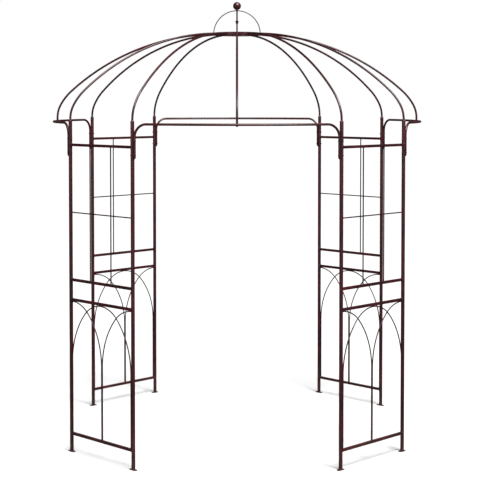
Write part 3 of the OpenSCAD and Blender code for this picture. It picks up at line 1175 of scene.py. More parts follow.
def screw_mesh(name: str, shank_r: float, head_r: float, length: float, drive: Rim) -> bpy.types.Mesh:
    """Makes a screw with a low domed head and a recess, its head's seat at z 0.

    Args:
        name: Name of the mesh.
        shank_r: Radius of the shank.
        head_r: Radius of the head.
        length: Length below the seat.
        drive: Outline of the recess.

    Returns:
        The mesh; the head points along +z.
    """
    head_h, tip = 2.4 * MM, 0.5 * MM
    sink = head_r * (0.42 if drive is Rim.HEX else 0.52)
    return lathe(
        name,
        [
            Ring(0, -length),
            Ring(shank_r - tip, -length),
            Ring(shank_r, -length + tip),
            Ring(shank_r, 0),
            Ring(head_r * 0.97, 0),
            Ring(head_r, 0.2 * MM),
            Ring(head_r * 0.97, head_h * 0.38),
            Ring(head_r * 0.86, head_h * 0.68),
            Ring(head_r * 0.68, head_h * 0.9),
            Ring(head_r * 0.6, head_h),
            Ring(sink, head_h, drive),
            Ring(sink * 0.94, head_h * 0.35, drive),
            Ring(0, head_h * 0.28),
        ],
        24,
    )


def nut_mesh(name: str, flats: float, height: float, bore_r: float) -> bpy.types.Mesh:
    """Makes a hexagon nut with chamfered corners, from z 0 up.

    Args:
        name: Name of the mesh.
        flats: Width across the flats.
        height: Height of the nut.
        bore_r: Radius of the bore.

    Returns:
        The mesh.
    """
    corner, cut = flats / 2 / math.cos(math.pi / 6), 0.45 * MM
    return lathe(
        name,
        [
            Ring(bore_r, 0),
            Ring(flats / 2, 0),
            Ring(corner, cut, Rim.HEX),
            Ring(corner, height - cut, Rim.HEX),
            Ring(flats / 2, height),
            Ring(bore_r + cut, height),
            Ring(bore_r, height - cut),
        ],
        24,
        open_core=True,
    )


# ---- Lattice panels ----


@dataclass
class LatticePanel:
    """Square rails between two posts, with straight rods above and crossing arches below."""

    plan: Plan
    facing: Facing
    corner: float = 1.8 * MM
    rod_r: float = 3.75 * MM
    arch_r: float = 3.5 * MM
    gap: float = 0.1 * MM
    arch_rise: float = 360 * MM
    arch_top_deg: float = 46.0
    rail_weld_r: float = 1.5 * MM
    rod_weld_r: float = 1.0 * MM
    sides: int = 16

    def build(self, shop: Workshop) -> None:
        """Builds the rails, the rods, the arches and their welds.

        Args:
            shop: Tools and finishes.
        """
        plan, name = self.plan, self.facing.label
        frame_of = plan.panel(self.facing)

        def placed(lines: list[Line]) -> list[Line]:
            """Moves lines to this panel."""
            return [line.moved(frame_of) for line in lines]

        rails = shop.sweep(
            f"{name}_rails_square",
            placed(self.rail_lines()),
            plan.rail_w / 2,
            shop.finishes.coat,
            section=Section.SQUARE,
            corner=self.corner,
        )
        shop.fasten(rails, f"{name}_rails")
        for piece, node, lines, radius in (
            ("rods_straight", "upright_rods", self.rod_lines(), self.rod_r),
            ("rods_bent", "arch_rods", self.arch_lines(), self.arch_r),
        ):
            wire = shop.finishes.wire
            rods = shop.sweep(f"{name}_{piece}", placed(lines), radius, wire, self.sides)
            shop.fasten(rods, f"{name}_{node}")
        shop.weld(f"{name}_rail_welds", placed(self.rail_seams()), self.rail_weld_r)
        shop.weld(f"{name}_rod_welds", placed(self.rod_seams()), self.rod_weld_r, 2 * MM)
        shop.weld(f"{name}_tacks", placed(self.tacks()), self.rail_weld_r, 2.2 * MM)

    @property
    def rail_heights(self) -> tuple[float, ...]:
        """Centre heights of the rails, from the top."""
        plan = self.plan
        return plan.top_rail_z, plan.upper_mid_z, plan.lower_mid_z, plan.bottom_rail_z

    @property
    def cross_z(self) -> float:
        """Height of the cross rod."""
        return (self.plan.top_rail_z + self.plan.upper_mid_z) / 2

    @property
    def arch_half_w(self) -> float:
        """Half the width of the full arch, between its legs' middles."""
        return self.plan.panel_w / 2 - self.plan.post_r - self.arch_r - 3 * self.gap

    @property
    def arch_top_z(self) -> float:
        """Height of the middle of an arch's rod at the apex."""
        return self.plan.lower_mid_z - self.plan.rail_w / 2 - self.arch_r - self.gap

    @property
    def arch_foot_z(self) -> float:
        """Height of the bottom rail's upper face."""
        return self.plan.bottom_rail_z + self.plan.rail_w / 2

    def at_post(self, x: float) -> float:
        """Gives how far along the panel the post's surface is, at a distance out from its plane."""
        return self.plan.panel_w / 2 - math.sqrt(self.plan.post_r**2 - x**2)

    def rail_lines(self) -> list[Line]:
        """Gives the rails' centrelines, which run into the posts up to the corners' contact."""
        reach = self.at_post(self.plan.rail_w / 2)
        return [straight((0, -reach, z), (0, reach, z)) for z in self.rail_heights]

    def rod_lines(self) -> list[Line]:
        """Gives two uprights outside, and a cross rod behind them from post to post.

        Returns:
            The two uprights and then the cross rod.
        """
        depth = self.rod_r + self.gap / 2
        low = self.plan.upper_mid_z + self.plan.rail_w / 2
        high = self.plan.top_rail_z - self.plan.rail_w / 2
        apart = self.plan.panel_w / 6
        lines = [straight((depth, s * apart, low), (depth, s * apart, high)) for s in ENDS]
        reach = self.at_post(2 * self.rod_r)
        across = straight((-depth, -reach, self.cross_z), (-depth, reach, self.cross_z))
        return [*lines, across]

    def arch_lines(self) -> list[Line]:
        """Gives the full arch outside and the two half arches inside.

        Returns:
            The full arch and then the half arches.
        """
        top, rise, half = math.radians(self.arch_top_deg), self.arch_rise, self.arch_half_w
        split = math.sin(top) + math.cos(top) - 1
        tight = (half * math.cos(top) - rise * (1 - math.sin(top))) / split
        wide = (rise * math.sin(top) - half * (1 - math.cos(top))) / split
        leg = (0, self.arch_top_z - rise - self.arch_foot_z)
        side = (wide, 90 - self.arch_top_deg, 0)
        depth, middle = self.arch_r + self.gap / 2, self.arch_r + self.gap
        full = shifted(depth, half, self.arch_foot_z) @ turned(90)
        lines = [trace([leg, side, (tight, 2 * self.arch_top_deg, 0), side, leg], full)]
        for s in ENDS:
            start = shifted(-depth, s * middle, self.arch_foot_z) @ turned(-s * 90)
            lines.append(trace([leg, side, (tight, self.arch_top_deg, 0)], start))
        return lines

    def rail_seams(self) -> list[Line]:
        """Gives the seams round the rails' ends, on the posts.

        Returns:
            A closed seam for each end of each rail.
        """
        half, corner = self.plan.rail_w / 2 + 0.3 * MM, self.corner
        flat = half - corner
        outline = [
            point
            for k, (x, z) in enumerate(((flat, flat), (-flat, flat), (-flat, -flat), (flat, -flat)))
            for point in arc(corner, (x, z), 90 * k, 90 * k + 90, 4)
        ]
        outline = spread(outline, 2 * MM)
        return [
            Line([Vector((x, s * self.at_post(x), z + height)) for x, z in outline], True)
            for height in self.rail_heights
            for s in ENDS
        ]

    def rod_seams(self) -> list[Line]:
        """Gives the seams round the rods' ends, on rails and posts.

        Returns:
            A closed seam for each end of each rod.
        """
        rods, arches = self.rod_lines(), self.arch_lines()
        seams = [
            loop(self.rod_r + 0.2 * MM, 24, Matrix.Translation(p)) for r in rods[:2] for p in r.points
        ]
        feet = [arches[0].points[0], arches[0].points[-1], arches[1].points[0], arches[2].points[0]]
        seams += [loop(self.arch_r + 0.2 * MM, 24, Matrix.Translation(p)) for p in feet]
        ends = [(p, self.rod_r) for p in rods[2].points]
        ends += [(line.points[-1], self.arch_r) for line in arches[1:]]
        for point, radius in ends:
            round_rod = arc(radius + 0.2 * MM, (point.x, point.z), 0, 345, 23)
            side = math.copysign(1, point.y)
            seams.append(Line([Vector((x, side * self.at_post(x), z)) for x, z in round_rod], True))
        return seams

    def tacks(self) -> list[Line]:
        """Gives short tacks where rods cross or touch side by side.

        Returns:
            The tacks' seams.
        """
        crossings = [Vector((0, s * self.plan.panel_w / 6, self.cross_z)) for s in ENDS]
        full = self.arch_lines()[0].points
        middle = (self.arch_half_w + self.arch_r + self.gap) / 2
        high = min(full, key=lambda p: abs(p.y - middle))
        crossings += [Vector((0, s * middle, high.z)) for s in ENDS]
        tacks = [tack(p, Vector((0, s, 0.8)), 5 * MM) for p in crossings for s in ENDS]
        depth = self.arch_r + self.gap / 2
        spring = self.arch_top_z - self.arch_rise
        tacks += [
            tack(Vector((-depth + s * 2.2 * MM, 0, z)), Vector((0, 0, 1)), 16 * MM)
            for z in (spring * 0.45, spring * 0.92)
            for s in ENDS
        ]
        crown = Vector((depth, 0, self.plan.lower_mid_z - self.plan.rail_w / 2))
        tacks.append(tack(crown, Vector((0, 1, 0)), 18 * MM))
        return tacks


def spread(outline: list[Point], pitch: float) -> list[Point]:
    """Adds points to a closed outline so that none are further apart than a pitch.

    Args:
        outline: Points of the outline.
        pitch: Largest distance between neighbours.

    Returns:
        The fuller outline.
    """
    full: list[Point] = []
    for (x0, y0), (x1, y1) in zip(outline, outline[1:] + outline[:1]):
        parts = max(1, math.ceil(math.hypot(x1 - x0, y1 - y0) / pitch))
        full += [(x0 + (x1 - x0) * k / parts, y0 + (y1 - y0) * k / parts) for k in range(parts)]
    return full


def tack(middle: Vector, direction: Vector, length: float) -> Line:
    """Gives a short seam whose bead thins out at both ends.

    Args:
        middle: Middle of the tack.
        direction: Direction that it runs in.
        length: Length from tip to tip.

    Returns:
        The seam.
    """
    along = direction.normalized() * length
    shape = {-0.5: 0.35, -0.36: 0.8, -0.15: 1.0, 0.15: 1.0, 0.36: 0.8, 0.5: 0.35}
    return Line([middle + along * t for t in shape], swell=list(shape.values()))


# ---- Headers ----


@dataclass
class Header:
    """A tube bent to a wide upturned U that bows outward over one opening.

    Its legs start `spare` longer than `leg_l`, and their tips are then cut off at a slant.
    """

    plan: Plan
    opening: Opening
    leg_l: float = 201 * MM
    spare: float = 21.6 * MM
    bend_r: float = 75 * MM
    edge: float = 0.7 * MM

    def build(self, shop: Workshop) -> None:
        """Builds the tube, its closed and slanted tips included.

        Args:
            shop: Tools and finishes.
        """
        plan = self.plan
        start_z = plan.header_z - self.leg_l - self.spare
        leg_x, leg_out = plan.half_opening - plan.leg_off, plan.half_span + plan.leg_off
        centre = (
            plan.header_mid_r**2 - leg_out**2 - leg_x**2 + self.bend_r**2
        ) / (2 * plan.header_bow)
        bow_r = plan.header_mid_r - centre
        half = math.degrees(math.atan(leg_x / (leg_out - centre)) - math.atan(self.bend_r / bow_r))
        leg = (0, plan.header_z - self.bend_r - start_z)
        corner = (self.bend_r, 90)
        steps = [leg, (*corner, 0), (bow_r, 2 * half, -90), (*corner, 90), leg]
        turn = turned(self.opening.value)
        line = trace(steps, turn @ shifted(leg_out, leg_x, start_z) @ turned(90 + half))
        name = f"{self.opening.label}_header"
        tube = shop.sweep(f"{name}_tube", [line], plan.header_r, shop.finishes.coat)
        for mirror in ENDS:
            tip = turn @ shifted(leg_out, mirror * leg_x, plan.header_z - self.leg_l)
            self.cut_tip(tube.data, tip @ turned(mirror * 135) @ shifted(plan.header_r))
        shop.fasten(tube, name)

    def cut_tip(self, mesh: bpy.types.Mesh, place: Matrix) -> None:
        """Cuts a leg's tip at 45 degrees, closes it and breaks its edge.

        Args:
            mesh: The header's mesh.
            place: Lowest point of the finished tip, x from the leg toward its post.
        """
        up = (place.to_3x3() @ Vector((1, 0, 1))).normalized()
        tip, reach = place.translation, 8 * self.plan.header_r
        with edited(mesh) as made:
            region = {v for v in made.verts if (v.co - tip).length < reach}
            edges = {e for v in region for e in v.link_edges}
            faces = {f for v in region for f in v.link_faces}
            geom = [*region, *edges, *faces]
            cut = bmesh.ops.bisect_plane(
                made, geom=geom, plane_co=tip, plane_no=up, clear_inner=True
            )
            rim = [e for e in cut["geom_cut"] if isinstance(e, bmesh.types.BMEdge)]
            bmesh.ops.holes_fill(made, edges=rim, sides=0)
            rim = [e for e in rim if e.is_valid]
            bmesh.ops.bevel(
                made, geom=rim, offset=self.edge, segments=2, profile=0.5, affect="EDGES"
            )


# ---- Dome ----


@dataclass
class Dome:
    """Ribs from the post tops and from behind the headers to the crown ring.

    A rib has two bends of a set radius and angle, and a third that ends at the ring. The last
    bend would be level at `level_r` from the axis, and runs on by `over_deg` to meet the ring.
    """

    plan: Plan
    socket_collar_h: float = 5 * MM
    socket_depth: float = 32 * MM
    socket_l: float = 40 * MM
    clear: float = 0.15 * MM
    post_wall: float = 0.9 * MM
    stand: float = 3 * MM
    bend1: Point = (170 * MM, 29.3)
    bend2: Point = (343 * MM, 18.4)
    level_r: float = 118 * MM
    foot_below: float = 12 * MM
    rib_wall: float = 1 * MM
    hollow_h: float = 30 * MM
    over_deg: float = 0.02
    edge: float = 0.5 * MM
    ring_out_r: float = 150.5 * MM

    @property
    def bend_z(self) -> float:
        """Height at which the first bend begins."""
        return self.plan.post_h + self.socket_collar_h + self.stand

    @property
    def last_bend(self) -> tuple[float, float, float]:
        """Radius of the last bend, and its centre out from a rib's foot and up.

        Returns:
            The radius, the distance out and the height.
        """
        base = min(self.plan.header_rib_foot_r, self.plan.post_circle_r)
        (r1, deg1), (r2, deg2) = self.bend1, self.bend2
        a1, a2 = math.radians(deg1), math.radians(deg1 + deg2)
        run = base - self.level_r - r1 * (1 - math.cos(a1)) - r2 * (math.cos(a1) - math.cos(a2))
        r3 = run / math.cos(a2)
        out = -r1 + (r1 - r2) * math.cos(a1) + (r2 - r3) * math.cos(a2)
        up = self.bend_z + (r1 - r2) * math.sin(a1) + (r2 - r3) * math.sin(a2)
        return r3, out, up

    def end_deg(self, foot_r: float) -> float:
        """Gives the turn from upright at which a rib meets the ring."""
        r3, out, _ = self.last_bend
        return math.degrees(math.acos((self.ring_out_r - foot_r - out) / r3))

    def end_place(self, turn: float, foot_r: float) -> Matrix:
        """Gives the frame of a rib's end at the ring, x out along the rib.

        Args:
            turn: Direction of the rib from the axis.
            foot_r: Distance of its foot from the axis.

        Returns:
            The frame.
        """
        r3, _, up = self.last_bend
        end = self.end_deg(foot_r)
        height = up + r3 * math.sin(math.radians(end))
        return turned(turn) @ shifted(self.ring_out_r, 0, height) @ turned(90 - end, "Y")

    def ends(self) -> list[Matrix]:
        """Gives the frame of every rib's end at the ring.

        Returns:
            The headers' ribs first, and then the posts' ribs.
        """
        plan = self.plan
        places = [self.end_place(o.value, plan.header_rib_foot_r) for o in Opening]
        return places + [
            self.end_place(facing.value + end * plan.post_half_deg, plan.post_circle_r)
            for facing, end in CORNERS
        ]

    def rib_line(self, turn: float, foot_r: float, foot_z: float) -> Line:
        """Gives a rib's centreline, from its foot to the ring's outer face.

        Args:
            turn: Direction of the rib from the axis.
            foot_r: Distance of its foot from the axis.
            foot_z: Height of its foot.

        Returns:
            The centreline.
        """
        r3 = self.last_bend[0]
        bent = self.bend1[1] + self.bend2[1]
        steps = [
            (0, self.bend_z - foot_z),
            (*self.bend1, 0),
            (*self.bend2, 0),
            (r3, self.end_deg(foot_r) - bent + self.over_deg, 0),
        ]
        return trace(steps, turned(turn) @ shifted(foot_r, 0, foot_z))

    def build(self, shop: Workshop) -> None:
        """Builds the ribs and the sockets.

        Args:
            shop: Tools and finishes.
        """
        plan, coat = self.plan, shop.finishes.coat
        foot_z = plan.post_h + self.socket_collar_h - self.socket_depth + self.clear
        for facing, end in CORNERS:
            node = plan.post_name(facing, end, "rib")
            turn = facing.value + end * plan.post_half_deg
            line = self.rib_line(turn, plan.post_circle_r, foot_z)
            shop.fasten(shop.sweep(f"{node}_tube", [line], plan.rib_r, coat), node)
        for opening in Opening:
            node = f"{opening.label}_rib"
            line = self.rib_line(
                opening.value, plan.header_rib_foot_r, plan.header_z - self.foot_below
            )
            rib = shop.sweep(f"{node}_tube", [line], plan.rib_r, coat)
            self.hollow_foot(rib.data)
            shop.fasten(rib, node)
        shop.copies("rib_sockets_turned", self.socket(), plan.posts(), coat, "rib_sockets")

    def hollow_foot(self, mesh: bpy.types.Mesh) -> None:
        """Opens a tube's lower end to its bore, for as deep as light reaches.

        Args:
            mesh: The rib's mesh.
        """
        with edited(mesh) as made:
            caps = [f for f in made.faces if len(f.verts) > 4]
            cap = min(caps, key=lambda f: f.calc_center_median().z)
            bmesh.ops.inset_region(made, faces=[cap], thickness=self.rib_wall)
            rings = bmesh.ops.extrude_face_region(made, geom=[cap])["geom"]
            moved = [v for v in rings if isinstance(v, bmesh.types.BMVert)]
            bmesh.ops.delete(made, geom=[cap], context="FACES_ONLY")
            bmesh.ops.translate(made, verts=moved, vec=(0, 0, self.hollow_h))

    def socket(self) -> bpy.types.Mesh:
        """Makes the reducing socket: a shank in the post, a cone above and a blind bore.

        Returns:
            The mesh, at its height in the post's frame.
        """
        plan = self.plan
        shank = plan.post_r - self.post_wall - self.clear
        bore = plan.rib_r + self.clear
        low, top = plan.post_h - self.socket_l, plan.post_h + self.socket_collar_h
        neck = bore + 1 * MM
        return lathe(
            "rib_socket",
            [
                Ring(0, low),
                Ring(shank - self.edge, low),
                Ring(shank, low + self.edge),
                Ring(shank, plan.post_h),
                Ring(plan.post_r - 0.3 * MM, plan.post_h + 0.05 * MM),
                Ring(plan.post_r - 0.1 * MM, plan.post_h + 0.5 * MM),
                Ring(plan.post_r - 0.7 * MM, plan.post_h + 1.6 * MM),
                Ring((plan.post_r + neck) / 2 - 0.2 * MM, plan.post_h + 3.2 * MM),
                Ring(neck, top - 0.3 * MM),
                Ring(neck - 0.3 * MM, top),
                Ring(bore, top),
                Ring(bore, top - self.socket_depth),
                Ring(0, top - self.socket_depth),
            ],
            36,
        )


@dataclass
class HeaderBolts:
    """Bolts through legs and posts, and through headers and the rib feet behind them."""

    plan: Plan
    leg_l: float = 201 * MM
    from_tip: float = 24 * MM
    spacing: float = 82 * MM
    shank_r: float = 2.5 * MM
    head_r: float = 4.75 * MM
    flats: float = 8 * MM
    nut_h: float = 4 * MM
    clear: float = 0.1 * MM

    def build(self, shop: Workshop) -> None:
        """Builds the bolts and their nuts.

        Args:
            shop: Tools and finishes.
        """
        plan, fastener = self.plan, shop.finishes.fastener
        tip = plan.header_z - self.leg_l
        heights = (tip + self.from_tip, tip + self.from_tip + self.spacing)
        over = self.nut_h + 2 * MM
        head, nut = turned(-90, "Y"), turned(90, "Y")
        legs = [(leg, z) for leg in plan.header_legs() for z in heights]
        mesh = self.bolt("header_bolt", 2 * (plan.header_r + plan.post_r) + plan.header_gap + over)
        places = [leg @ shifted(-plan.header_r, 0, z) @ head for leg, z in legs]
        shop.copies("header_bolts_button", mesh, places, fastener, "header_bolts")
        mesh = self.bolt("rib_foot_bolt", 2 * (plan.header_r + plan.rib_r) + plan.rib_gap + over)
        front = shifted(plan.header_mid_r + plan.header_r, 0, plan.header_z) @ turned(180)
        places = [turned(o.value) @ front @ head for o in Opening]
        shop.copies("rib_foot_bolts_button", mesh, places, fastener, "rib_foot_bolts")
        beyond = plan.header_r + plan.header_gap + 2 * plan.post_r
        behind = shifted(plan.header_rib_foot_r - plan.rib_r, 0, plan.header_z)
        places = [leg @ shifted(beyond, 0, z) @ nut for leg, z in legs]
        places += [turned(o.value) @ behind @ head for o in Opening]
        mesh = nut_mesh("bolt_nut", self.flats, self.nut_h, self.shank_r + self.clear)
        shop.copies("header_nuts_hex", mesh, places, fastener, "header_nuts")

    def bolt(self, name: str, length: float) -> bpy.types.Mesh:
        """Makes a button-head bolt of a given length."""
        return screw_mesh(name, self.shank_r, self.head_r, length, Rim.HEX)


# ---- Crown and finial ----


@dataclass
class Crown:
    """The ring where the ribs meet, its cross, the wire hoop and the finial."""

    CROSS_WAYS: ClassVar[tuple[int, ...]] = (45, 135, 225, 315)

    plan: Plan
    dome: Dome
    ring_r: float = 148 * MM
    ring_h: float = 16.5 * MM
    ring_t: float = 5 * MM
    ring_edge: float = 1.0 * MM
    cross_w: float = 16 * MM
    cross_t: float = 3 * MM
    cross_edge: float = 0.5 * MM
    hoop_r: float = 3 * MM
    hoop_rise: float = 140 * MM
    stem_r: float = 5 * MM
    thread_r: float = 3 * MM
    ball_r: float = 25.5 * MM
    ball_gap: float = 1.4 * MM
    collar_r: float = 10.5 * MM
    collar_h: float = 18 * MM
    collar_above: float = 66 * MM
    nut_flats: float = 8 * MM
    nut_h: float = 4 * MM
    spigot_l: float = 12 * MM
    screw_r: float = 2.5 * MM
    screw_head_r: float = 4.75 * MM
    screw_reach: float = 14.4 * MM
    weld_r: float = 0.9 * MM
    clear: float = 0.1 * MM

    @property
    def ring_z(self) -> float:
        """Height of the ring's middle."""
        base = min(self.plan.header_rib_foot_r, self.plan.post_circle_r)
        return self.dome.end_place(0, base).translation.z

    @property
    def hoop_top_z(self) -> float:
        """Height of the hoop's wire at the top."""
        return self.ring_z + self.ring_h / 2 + self.hoop_rise

    @property
    def ball_z(self) -> float:
        """Height of the ball's middle."""
        return self.hoop_top_z + self.hoop_r + self.ball_gap + self.ball_r

    @property
    def seat_z(self) -> float:
        """Height at which the ball sits on the stem."""
        return self.ball_z - math.sqrt(self.ball_r**2 - self.stem_r**2)

    def build(self, shop: Workshop) -> None:
        """Builds the ring, the cross, the hoop, the finial and their fasteners.

        Args:
            shop: Tools and finishes.
        """
        coat, fastener = shop.finishes.coat, shop.finishes.fastener
        shop.single("crown_ring_rolled", self.ring(), coat, "crown_ring")
        shop.single("crown_cross_cut", self.cross(), coat, "crown_cross")
        hoop = shop.sweep("crown_hoop_wire", [self.hoop_line()], self.hoop_r, shop.finishes.wire, 20)
        shop.fasten(hoop, "crown_hoop")
        shop.single("finial_stem_turned", self.stem(), coat, "finial_stem")
        shop.single("finial_collar_turned", self.collar(), coat, "finial_collar")
        shop.single("finial_ball_spun", self.ball(), coat, "finial_ball")
        nut = nut_mesh("finial_nut_hex", self.nut_flats, self.nut_h, self.thread_r + self.clear)
        under = shifted(0, 0, self.ring_z - self.cross_t / 2 - self.nut_h)
        shop.copies("finial_nut_hex", nut, [under], fastener, "finial_nut")
        length = self.ring_t + self.screw_reach
        screw = screw_mesh("crown_screw", self.screw_r, self.screw_head_r, length, Rim.HEX)
        inside = shifted(-self.ring_t - self.clear) @ turned(-90, "Y")
        places = [place @ inside for place in self.dome.ends()]
        shop.copies("crown_screws_button", screw, places, fastener, "crown_screws")
        shop.weld("crown_welds", self.seams(), self.weld_r, 2 * MM)

    def ring(self) -> bpy.types.Mesh:
        """Makes the flat ring with rounded edges.

        Returns:
            The mesh.
        """
        inner, outer = self.ring_r - self.ring_t / 2, self.ring_r + self.ring_t / 2
        low, high, edge = self.ring_z - self.ring_h / 2, self.ring_z + self.ring_h / 2, self.ring_edge
        corners = (
            (inner + edge, low + edge, 180),
            (outer - edge, low + edge, 270),
            (outer - edge, high - edge, 0),
            (inner + edge, high - edge, 90),
        )
        section = [p for r, z, a in corners for p in arc(edge, (r, z), a, a + 90, 3)]
        return lathe("crown_ring", [Ring(r, z) for r, z in section], 120, open_core=True)

    def cross(self) -> bpy.types.Mesh:
        """Makes the flat cross with its disc, cut from one sheet.

        Returns:
            The mesh.
        """
        half = self.cross_w / 2
        tip = math.sqrt((self.ring_r - self.ring_t / 2) ** 2 - half**2)
        leaves = 30  # angle between a bar's middle and the corner where it leaves the disc
        outline: list[Point] = []
        for way in self.CROSS_WAYS:
            turn = Matrix.Rotation(math.radians(way), 2)
            outline += [tuple(turn @ Vector((tip, side * half))) for side in ENDS]
            outline += arc(self.cross_w, (0, 0), way + leaves, way + 90 - leaves, 5)
        mesh = plate("crown_cross", [outline], self.cross_t, self.cross_edge)
        mesh.transform(shifted(0, 0, self.ring_z - self.cross_t / 2))
        return mesh

    def hoop_line(self) -> Line:
        """Gives the hoop's centreline, an arc from foot to foot on the ring.

        Returns:
            The line.
        """
        radius = (self.ring_r**2 + self.hoop_rise**2) / (2 * self.hoop_rise)
        half = math.degrees(math.asin(self.ring_r / radius))
        centre = self.hoop_top_z - radius
        points = arc(radius, (0, centre), 90 - half, 90 + half, 64)
        return Line([Vector((x, 0, z)) for x, z in points])

    def stem(self) -> bpy.types.Mesh:
        """Makes the stem, with its threaded end below the cross and its spigot in the ball.

        Returns:
            The mesh.
        """
        base, end = self.ring_z + self.cross_t / 2, self.seat_z + self.spigot_l
        tip = self.ring_z - self.cross_t / 2 - self.nut_h - 3 * MM
        edge = 0.5 * MM
        return lathe(
            "finial_stem",
            [
                Ring(0, tip),
                Ring(self.thread_r - edge, tip),
                Ring(self.thread_r, tip + edge),
                Ring(self.thread_r, base),
                Ring(self.stem_r - edge, base),
                Ring(self.stem_r, base + edge),
                Ring(self.stem_r, self.seat_z),
                Ring(self.thread_r, self.seat_z),
                Ring(self.thread_r, end),
                Ring(0, end),
            ],
            32,
        )

    def collar(self) -> bpy.types.Mesh:
        """Makes the cup on the stem, which widens upward and is hollow at the top.

        Returns:
            The mesh.
        """
        low, bore, r, h = self.ring_z + self.collar_above, self.stem_r, self.collar_r, self.collar_h
        return lathe(
            "finial_collar",
            [
                Ring(bore, low),
                Ring(bore + 1.6 * MM, low),
                Ring(bore + 2.2 * MM, low + 0.5 * MM),
                Ring(bore + 3.1 * MM, low + h * 0.25),
                Ring(bore + 4.5 * MM, low + h * 0.52),
                Ring(r - 0.15 * MM, low + h * 0.74),
                Ring(r, low + h * 0.82),
                Ring(r, low + h - 0.6 * MM),
                Ring(r - 0.6 * MM, low + h),
                Ring(r - 1.4 * MM, low + h),
                Ring(r - 2.0 * MM, low + h - 0.5 * MM),
                Ring(bore + 1.6 * MM, low + h * 0.5),
                Ring(bore, low + h * 0.4),
            ],
            40,
            open_core=True,
        )

    def ball(self) -> bpy.types.Mesh:
        """Makes the ball with its flat seat on the stem.

        Returns:
            The mesh.
        """
        rise = self.ball_z - self.seat_z
        low = math.degrees(math.asin(-rise / self.ball_r))
        points = arc(self.ball_r, (0, self.ball_z), low, 90, 30)
        return lathe(
            "finial_ball",
            [Ring(0, self.seat_z), *[Ring(r, z) for r, z in points[:-1]], Ring(0, points[-1][1])],
            56,
        )

    def seams(self) -> list[Line]:
        """Gives the seams at the hoop's feet, the cross's ends, the ball and the collar.

        Returns:
            The seams.
        """
        top = self.ring_z + self.ring_h / 2
        seams = [loop(self.hoop_r + 0.1 * MM, 24, shifted(s * self.ring_r, 0, top)) for s in ENDS]
        seams.append(loop(self.stem_r + 0.2 * MM, 32, shifted(0, 0, self.seat_z)))
        seams.append(loop(self.stem_r + 0.3 * MM, 32, shifted(0, 0, self.ring_z + self.collar_above)))
        reach = self.ring_r - self.ring_t / 2 - 0.2 * MM
        half = math.degrees(math.asin(self.cross_w / 2 / reach))
        for way in self.CROSS_WAYS:
            for side in ENDS:
                z = self.ring_z + side * self.cross_t / 2
                run = arc(reach, (0, 0), way - half, way + half, 8)
                seams.append(Line([Vector((x, y, z)) for x, y in run]))
        return seams


# ---- Hidden CAD parts ----


def dress_hidden(finishes: Finishes) -> None:
    """Gives the CAD's couplers and rib inserts their zinc plate.

    Args:
        finishes: Materials, of which the zinc plate is used.
    """
    for name in ("post_couplers", "rib_end_inserts"):
        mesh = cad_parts[name].data
        mesh.materials.clear()
        mesh.materials.append(finishes.zinc)
        log.info("%s: CAD mesh in %s", name, finishes.zinc.name)


# ---- Studio ----


class SoftBox(Enum):
    """A studio lamp: place, point that it faces, size in metres, power in watts."""

    KEY = ((-4.6, -7.0, 2.6), (0, 0, 1.6), 1.8, 90)
    FILL = ((5.0, -6.0, 2.4), (0, 0, 1.5), 1.4, 50)
    TOP = ((2.4, -3.2, 7.2), (0, 0, 2.4), 0.9, 260)


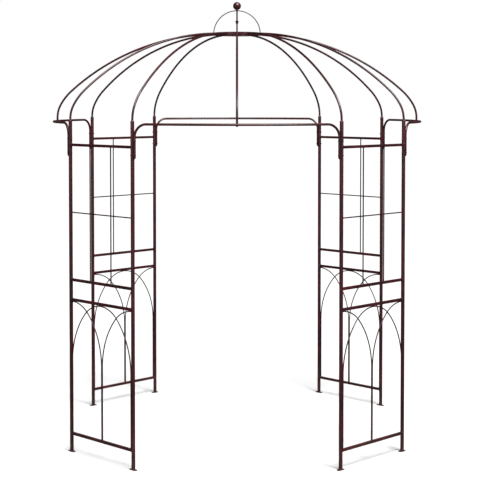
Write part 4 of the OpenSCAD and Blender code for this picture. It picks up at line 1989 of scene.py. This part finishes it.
@dataclass
class Studio:
    """Pale floor, white background, soft light and the camera."""

    floor_size: float = 240.0
    sun_power: float = 7.4
    sun_width: float = 36.0
    sun_tilt: float = 32.0
    sun_turn: float = 22.0
    ambient: float = 0.1
    eye: tuple[float, float, float] = (0.0, -8.411, 2.1153)
    pitch: float = 2.2
    lens: float = 98.741
    sensor: float = 36.0
    shift: Point = (0.00626, -0.19)
    sight: float = 500.0

    def build(self) -> None:
        """Builds floor, background, lamps and camera."""
        scene = bpy.context.scene
        scene.view_settings.view_transform = "Standard"
        self.floor()
        self.background(scene)
        for box in SoftBox:
            self.lamp(box)
        sun = bpy.data.lights.new("sky_light", "SUN")
        sun.energy = self.sun_power
        sun.angle = math.radians(self.sun_width)
        sky = bpy.data.objects.new("sky_light", sun)
        sky.rotation_euler = (math.radians(self.sun_tilt), 0, math.radians(self.sun_turn))
        scene.collection.objects.link(sky)
        self.camera(scene)

    def floor(self) -> None:
        """Builds the floor."""
        made = bmesh.new()
        bmesh.ops.create_grid(made, x_segments=8, y_segments=8, size=self.floor_size / 2)
        mesh = bpy.data.meshes.new("studio_floor")
        made.to_mesh(mesh)
        made.free()
        mesh.materials.append(StudioFloor().material())
        obj = bpy.data.objects.new("studio_floor", mesh)
        bpy.context.scene.collection.objects.link(obj)
        obj.visible_glossy = False  # the coat mirrors the lamps, and no bright ground

    def background(self, scene: bpy.types.Scene) -> None:
        """Builds a background that looks white but casts only a weak light on the object.

        Args:
            scene: Scene whose world it becomes.
        """
        world = bpy.data.worlds.new("studio")
        world.use_nodes = True
        tree = world.node_tree
        tree.nodes.clear()
        seen = add_node(tree, "ShaderNodeBackground", {"Color": (1, 1, 1, 1), "Strength": 1.0})
        cast = add_node(
            tree, "ShaderNodeBackground", {"Color": (1, 1, 1, 1), "Strength": self.ambient}
        )
        ray = add_node(tree, "ShaderNodeLightPath")
        both = add_node(
            tree,
            "ShaderNodeMixShader",
            {0: ray.outputs["Is Camera Ray"], 1: cast.outputs[0], 2: seen.outputs[0]},
        )
        add_node(tree, "ShaderNodeOutputWorld", {"Surface": both.outputs[0]})
        scene.world = world

    def lamp(self, box: SoftBox) -> None:
        """Hangs one soft box.

        Args:
            box: The lamp.
        """
        place, target, size, power = box.value
        light = bpy.data.lights.new(f"{box.name.lower()}_softbox", "AREA")
        light.shape = "SQUARE"
        light.size = size
        light.energy = power
        obj = bpy.data.objects.new(light.name, light)
        obj.location = place
        obj.rotation_euler = (Vector(target) - Vector(place)).to_track_quat("-Z", "Y").to_euler()
        bpy.context.scene.collection.objects.link(obj)

    def camera(self, scene: bpy.types.Scene) -> None:
        """Sets up the camera.

        Args:
            scene: Scene that it serves.
        """
        camera = bpy.data.cameras.new("camera")
        camera.lens, camera.sensor_width = self.lens, self.sensor
        camera.shift_x, camera.shift_y = self.shift
        camera.clip_end = self.sight
        obj = bpy.data.objects.new("camera", camera)
        obj.location = self.eye
        obj.rotation_euler = (math.radians(90 - self.pitch), 0, 0)
        scene.collection.objects.link(obj)
        scene.camera = obj


def main() -> None:
    """Builds the arch from the feet up, dresses it, and sets up the studio."""
    logging.basicConfig(level=logging.INFO, format="%(message)s")
    finishes = Finishes(
        coat=PowderCoat("powder_coat", "#200609", "#360b10", "#6a3436").material(),
        wire=PowderCoat("powder_coat_on_wire", "#1a0507", "#2a090c", "#582e30", 0.4).material(),
        fastener=PowderCoat("painted_steel", "#2a0c0e", "#401618", "#764c4c", 0.32).material(),
        zinc=ZincPlate().material(),
    )
    shop = Workshop(finishes)
    plan = Plan()
    Posts(plan).build(shop)
    for facing in Facing:
        LatticePanel(plan, facing).build(shop)
    for opening in Opening:
        Header(plan, opening).build(shop)
    dome = Dome(plan)
    dome.build(shop)
    HeaderBolts(plan).build(shop)
    Crown(plan, dome).build(shop)
    dress_hidden(finishes)
    Studio().build()


if __name__ == "__main__":
    main()
